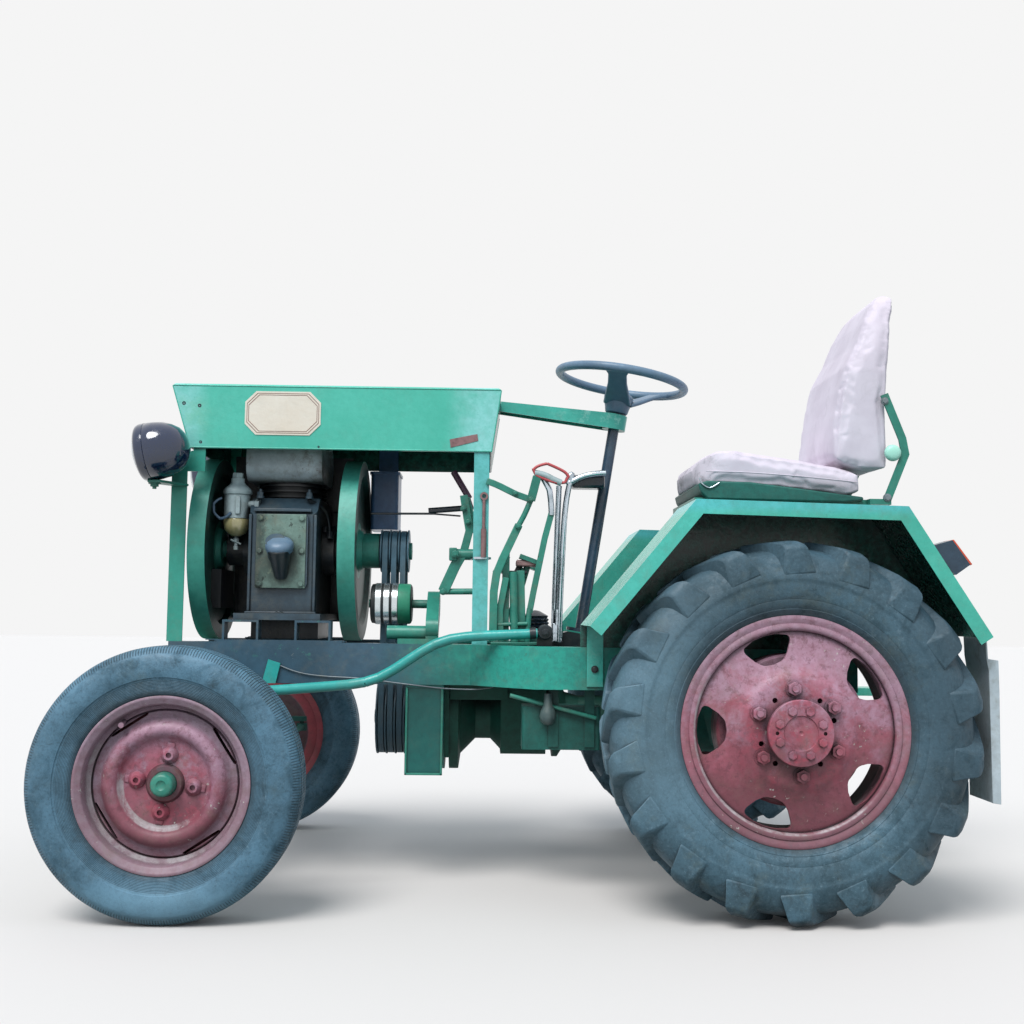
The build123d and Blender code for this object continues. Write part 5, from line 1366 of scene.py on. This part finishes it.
fit(make_hand_rails(), chrome, "root", "chrome_tube", "hand_rail")
fit(bevel(block("hand_rail_strap", (-0.246, 0.020, 1.096), (-0.150, 0.088, 1.134)), 0.008),
    black_paint, "root", "black_paint")

# ================================================================ hood, lamps and plates
def sign_outline(inset, corner, y):
    """The sign's outline, an oblong with its corners cut off, drawn in by an inset."""
    x0, x1, z0, z1 = 0.556 + inset, 0.764 - inset, 1.2130 + inset, 1.3340 - inset
    return [(x0 + corner, y, z0), (x1 - corner, y, z0), (x1, y, z0 + corner), (x1, y, z1 - corner),
            (x1 - corner, y, z1), (x0 + corner, y, z1), (x0, y, z1 - corner), (x0, y, z0 + corner)]


fit(slab("hood_sign_plate", sign_outline(0, 0.030, 0.2526), Y * 0.0016), cream_plate, "root",
    "seat_vinyl")
lines = [cut(slab("line", sign_outline(inset, 0.029, 0.2534), Y * 0.0012),
             slab("hole", sign_outline(inset + 0.0014, 0.0285, 0.2500), Y * 0.01))
         for inset in (0.0050, 0.0095)]
fit(join("hood_sign_lines", lines), brown_line, "root", "maroon_paint")
fit(bevel(slab("hood_strip_label", [(0.124, 0.2524, 1.2240), (0.200, 0.2524, 1.2080),
                                    (0.197, 0.2524, 1.1850), (0.121, 0.2524, 1.2050)], Y * 0.0015),
          0.0005), plain_finish("rusty_pink", colour(150, 112, 112), 0.6, mottle=0.5), "root",
    "maroon_paint")


def make_hood_edges():
    """The hems folded along the hood's lower and upper edges, on both sides."""
    parts = []
    for side in (1, -1):
        y = side * 0.2518
        for ends, z in (((0.913, 0.084), 1.1765), ((0.962, 0.060), 1.3480)):
            parts.append(pipe("hem", [(ends[0], y, z), (ends[1], y, z)], 0.0022, 0.02, 2))
        parts.append(pipe("end", [(0.9120, y, 1.176), (0.9640, y, 1.347)], 0.0018, 0.02, 2))
        parts.append(pipe("end", [(0.0838, y, 1.176), (0.0590, y, 1.347)], 0.0018, 0.02, 2))
    return join("hood_hems", parts)


fit(make_hood_edges(), green_paint, "root", "green_paint")
# The hood's holes are black dishes: painted shade inside them.
fit(join("hood_shaded_holes", [lathe("hole", [(-0.001, 0.0), (-0.001, r), (0.0006, r), (0.0006, r * 0.5),
                                        (-0.001, 0.0)], (x, 0.2526, z), Y, 20)
                         for x, z, r in ((0.932, 1.298, 0.005), (0.889, 1.292, 0.005),
                                         (0.883, 1.191, 0.004), (0.560, 1.182, 0.003))]),
    black_paint, "root", "black_paint")


# Both headlamps point forward, nosing down by 10 degrees.
lamp_place = (1.0210, 0.330, 1.1475)
lamp_nose = Vector((cos(radians(10)), 0, -sin(radians(10))))


def make_lamp():
    """One headlamp bowl with its joint line, nosing down a little."""
    return lathe("headlamp_bowls", [
        (0.004, 0.0620), (0.005, 0.0700), (0.000, 0.0755), (-0.008, 0.0780), (-0.0205, 0.0785),
        (-0.0215, 0.0772), (-0.0230, 0.0785), (-0.045, 0.0775), (-0.070, 0.0735), (-0.092, 0.0650),
        (-0.110, 0.0520), (-0.121, 0.0360), (-0.127, 0.0180), (-0.128, 0.0)],
        lamp_place, lamp_nose, 72, 50, across=Y)


def make_lens():
    """One headlamp's domed lens."""
    return lathe("headlamp_lenses", [
        (0.004, 0.0640), (0.012, 0.0520), (0.0185, 0.0320), (0.0210, 0.0)],
        lamp_place, lamp_nose, 64, 60, across=Y)


def make_lamp_arm():
    """The bracket that carries a lamp from the front post, with its clamp bolt."""
    return join(
        "headlamp_arms",
        bevel(slab("arm", [(0.912, 0.2485, 1.068), (0.955, 0.2485, 1.068), (1.004, 0.318, 1.068),
                           (0.998, 0.350, 1.068), (0.962, 0.350, 1.068)], Z * 0.007), 0.002),
        rod("stem", (0.984, 0.330, 1.070), (0.984, 0.330, 1.100), 0.011, 20),
        nut((0.984, 0.330, 1.068), 0.020, 0.010, 0.016, 0.006, out=-Z))


def pair(piece, finish, slot, *stands_for):
    """A piece on the left with its mirror image on the right, as one."""
    twin = mirror_image(piece, "twin")
    return fit(join(piece.name, piece, twin), finish, "root", slot, *stands_for)


pair(make_lamp(), sky_tinted_gloss_black, "black_paint", "headlamps")
pair(make_lens(), lens_glass, "bare_steel", "headlamps")
pair(make_lamp_arm(), lever_green, "green_paint", "headlamps")


def make_flap():
    """A sheet hung from the fender's tail, its outer edge folded back into a flange."""
    run = [(-1.1195, 0.700), (-1.1215, 0.640), (-1.1260, 0.610), (-1.1290, 0.291)]
    back = [(x - 0.004, z) for x, z in reversed(run)]
    sheet = slab("flap_sheet", [(x, 0.507, z) for x, z in run + back], Y * 0.140)
    flange = slab("flange", [(x, 0.6455, z) for x, z in (
        (-1.1200, 0.636), (-1.1260, 0.606), (-1.1290, 0.291), (-1.1500, 0.288), (-1.1510, 0.560),
        (-1.1500, 0.632))], Y * 0.0045)
    return join("flap_sheets", bevel(sheet, 0.001), bevel(flange, 0.001))


pair(make_flap(), flap_rubber, "engine_grey", "mud_flaps")
pair(slab("rear_lamp_cases", [(-1.036, 0.470, 0.916), (-1.084, 0.470, 0.930),
                              (-1.1285, 0.470, 0.868), (-1.092, 0.470, 0.842),
                              (-1.082, 0.470, 0.850)], Y * 0.070),
     column_paint, "black_paint", "rear_lamps")
pair(bevel(slab("rear_lamp_lenses", [(-1.084, 0.472, 0.930), (-1.089, 0.472, 0.932),
                                     (-1.1355, 0.472, 0.869), (-1.1285, 0.472, 0.866)], Y * 0.066),
           0.002), lamp_red, "maroon_paint")

# ================================================================ rails, fenders and seat
pair(join("fender_bolts", nut((-0.190, 0.421, 0.590), 0.013, 0.006, 0.0095)), dark_iron,
     "bare_steel")
pair(slab("rail_strut", [(0.681, 0.2495, 0.600), (0.648, 0.2495, 0.590), (0.660, 0.2495, 0.536),
                         (0.697, 0.2495, 0.536)], Y * 0.008), teal_paint, "slate_paint")
fit(pipe("rail_wire", [(0.668, 0.2540, 0.592), (0.610, 0.2540, 0.566), (0.540, 0.2540, 0.556),
                       (0.430, 0.2540, 0.552), (0.333, 0.2540, 0.540), (0.205, 0.2540, 0.526),
                       (0.100, 0.2540, 0.524), (0.071, 0.2480, 0.532)], 0.0018, 0.02, 2),
    bare_steel, "root", "bare_steel")
fit(join("bearer_strips", [block("strip", (0.478, side * 0.216 - 0.030, 0.6462),
                                 (0.830, side * 0.216 + 0.030, 0.6500)) for side in (1, -1)]),
    slate_paint, "root", "slate_paint")


def make_seat_pan():
    """The pressed pan under the cushion, seen between it and the fenders."""
    outline = [(-0.494, 1.100), (-0.500, 1.076), (-0.520, 1.056), (-0.900, 1.052), (-0.958, 1.058),
               (-0.958, 1.068), (-0.760, 1.092), (-0.640, 1.106), (-0.520, 1.108)]
    pan = slab("seat_pan_pressed", [(x, -0.219, z) for x, z in outline], Y * 0.438)
    return bevel(pan, 0.008, 3)


fit(make_seat_pan(), shade_green, "root", "green_paint")
fit(pipe("seat_hook", [(-0.496, 0.222, 1.116), (-0.502, 0.222, 1.098), (-0.526, 0.222, 1.084),
                       (-0.552, 0.222, 1.102)], 0.0022, 0.006, 2), chrome, "root", "chrome_tube")
fit(lathe("seat_knob", [(-0.010, 0.006), (-0.008, 0.020), (0.000, 0.0235), (0.008, 0.0215),
                        (0.012, 0.014), (0.013, 0.0)], (-1.036, 0.2330, 1.191), Y, 40, 50),
    mint_knob, "root", "wheel_plastic")
pair(join("seat_bolts", nut((-1.016, 0.231, 1.338), 0.014, 0.006, 0.010),
          nut((-1.020, 0.231, 1.066), 0.016, 0.006, 0.011)), bare_steel, "bare_steel")
fit(lathe("gearbox_knob", [(0.0, 0.010), (0.030, 0.012), (0.044, 0.019), (0.058, 0.0215),
                           (0.072, 0.019), (0.080, 0.010), (0.082, 0.0)],
          (-0.0715, 0.384, 0.524), -Z, 32, 50),
    rough_alloy, "root", "bare_steel")
fit(rod("brake_rod", (0.028, 0.376, 0.518), (-0.198, 0.376, 0.461), 0.0055, 16),
    lever_green, "root", "green_paint")
cradle_top = 0.528
low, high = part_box("clutch_cradle")
# The guard's edge flanges take the lighter lever green, a painted highlight framing its darker
# face.
edges = [((high.x - 0.006, high.y - 0.004, low.z + 0.010), (high.x, high.y + 0.006, cradle_top)),
         ((low.x, high.y - 0.004, low.z + 0.010), (low.x + 0.006, high.y + 0.006, cradle_top)),
         ((low.x, high.y - 0.004, low.z + 0.010), (high.x, high.y + 0.006, low.z + 0.016))]
fit(join("cradle_edges", [bevel(block("edge", a, b), 0.0015) for a, b in edges]),
    lever_green, "root", "green_paint")
block_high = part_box("engine_block")[1]
fit(block("sump_side", (block_high.x - 0.002, -0.080, 0.738), (block_high.x + 0.030, 0.100, 0.848)),
    oily_black, "root", "engine_grey")
fit(block("cradle_plate", (low.x + 0.001, high.y - 0.005, low.z + 0.011),
          (high.x - 0.001, high.y - 0.001, cradle_top)), plate_green, "root", "green_paint")
fit(join("clutch_cover", block("side", (low.x - 0.014, -0.10, 0.330), (low.x - 0.001, 0.15, 0.540)),
         block("top", (0.030, -0.10, 0.490), (0.190, 0.15, 0.540))), shaded_gearbox_green, "root",
    "green_paint")

# ================================================================ the rest of the CAD nodes
slot_finish = {
    "green_paint": green_paint, "slate_paint": slate_paint, "maroon_paint": maroon_paint,
    "black_paint": black_paint, "engine_grey": engine_paint, "tyre_rubber": rear_rubber,
    "belt_rubber": belt_rubber, "bare_steel": bare_steel, "chrome_tube": chrome,
    "seat_vinyl": vinyl_finish, "wheel_plastic": wheel_plastic,
}
finish_nodes = (
    (hood_paint, "hood"), (fender_paint, "fender_left fender_right"),
    (flywheel_paint, "flywheels"), (shaded_gearbox_green, "gearbox"), (cradle_green, "clutch_cradle"),
    (shade_green, "rear_axle knuckle_left knuckle_right tie_rod front_axle_beam axle_bracket"
                  " battery_box"),
    (lever_green, "idler_bracket pedals seat_frame"), (tank_steel, "fuel_tank"),
    (oily_black, "engine_cylinder"), (column_paint, "steering_column"),
    (support_paint, "column_support"), (post_paint, "hood_posts"),
    (dark_iron, "steering_box drop_arm"), (flap_rubber, "mud_flaps"),
    (belt_rubber, "crank_pulley input_pulley belts"), (box_blue, "air_cleaner"),
    (slate_paint, "engine_bearers"), (engine_paint, "engine_block"), (bare_steel, "floor_plate"))
node_finish = {node: finish for finish, nodes in finish_nodes for node in nodes.split()}
for part in frame["record"]["subparts"]:
    node = frame["nodes"][part["node"]]
    node.data.materials.clear()
    node.data.materials.append(
        node_finish.get(part["node"], slot_finish.get(part["material_slot"], shade_green)))


# ================================================================ floor, light and camera
def make_stage():
    """A pale floor that keeps the shadow, but throws little light up like a meadow."""
    deselect()
    bpy.ops.mesh.primitive_plane_add(size=60, location=(0, 0, 0))
    floor = named("studio_floor")
    f = Finish("pale_floor", roughness=0.9)
    seen = [f.add("ShaderNodeLightPath", out=kind) for kind in (
        "Is Camera Ray", "Is Glossy Ray", "Is Transmission Ray")]
    f.set("Base Color", f.mix(seen[0] + seen[1] + seen[2], colour(84, 92, 86),
                              colour(218, 213, 209)))
    floor.data.materials.append(f.material)


def make_light():
    """A plain even sky and one soft sun; the backdrop is seen white."""
    world = bpy.data.worlds.new("soft_sky")
    bpy.context.scene.world = world
    world.use_nodes = True
    tree = world.node_tree
    backdrop, sky = tree.nodes["Background"], tree.nodes.new("ShaderNodeBackground")
    backdrop.inputs["Color"].default_value = colour(245, 245, 245)
    backdrop.inputs["Strength"].default_value = 1.0
    sky.inputs["Color"].default_value = (0.86, 0.97, 1.08, 1)
    sky.inputs["Strength"].default_value = 0.74
    path, choice = tree.nodes.new("ShaderNodeLightPath"), tree.nodes.new("ShaderNodeMixShader")
    share = path.outputs["Is Camera Ray"]
    for other in ("Is Glossy Ray", "Is Transmission Ray"):
        both = tree.nodes.new("ShaderNodeMath")
        tree.links.new(share, both.inputs[0])
        tree.links.new(path.outputs[other], both.inputs[1])
        share = both.outputs[0]
    tree.links.new(share, choice.inputs[0])
    tree.links.new(sky.outputs[0], choice.inputs[1])
    tree.links.new(backdrop.outputs[0], choice.inputs[2])
    tree.links.new(choice.outputs[0], tree.nodes["World Output"].inputs[0])
    deselect()
    bpy.ops.object.light_add(type="SUN", location=(2, 4, 5))
    sun = bpy.context.active_object
    sun.data.energy, sun.data.angle = 2.6, radians(30)
    sun.rotation_euler = (Vector((-0.30, -0.62, -1.0))).to_track_quat("-Z", "Y").to_euler()


def make_camera():
    """Level with the tractor's middle, from its left."""
    deselect()
    bpy.ops.object.camera_add(
        location=(0.0965, 3.653, 0.731),
        rotation=(radians(94.681), radians(-0.685), radians(178.752)))
    camera = bpy.context.active_object
    camera.data.lens, camera.data.sensor_width = 43.66, 36
    bpy.context.scene.camera = camera


make_stage()
make_light()
make_camera()
bpy.context.scene.view_settings.view_transform = "Standard"
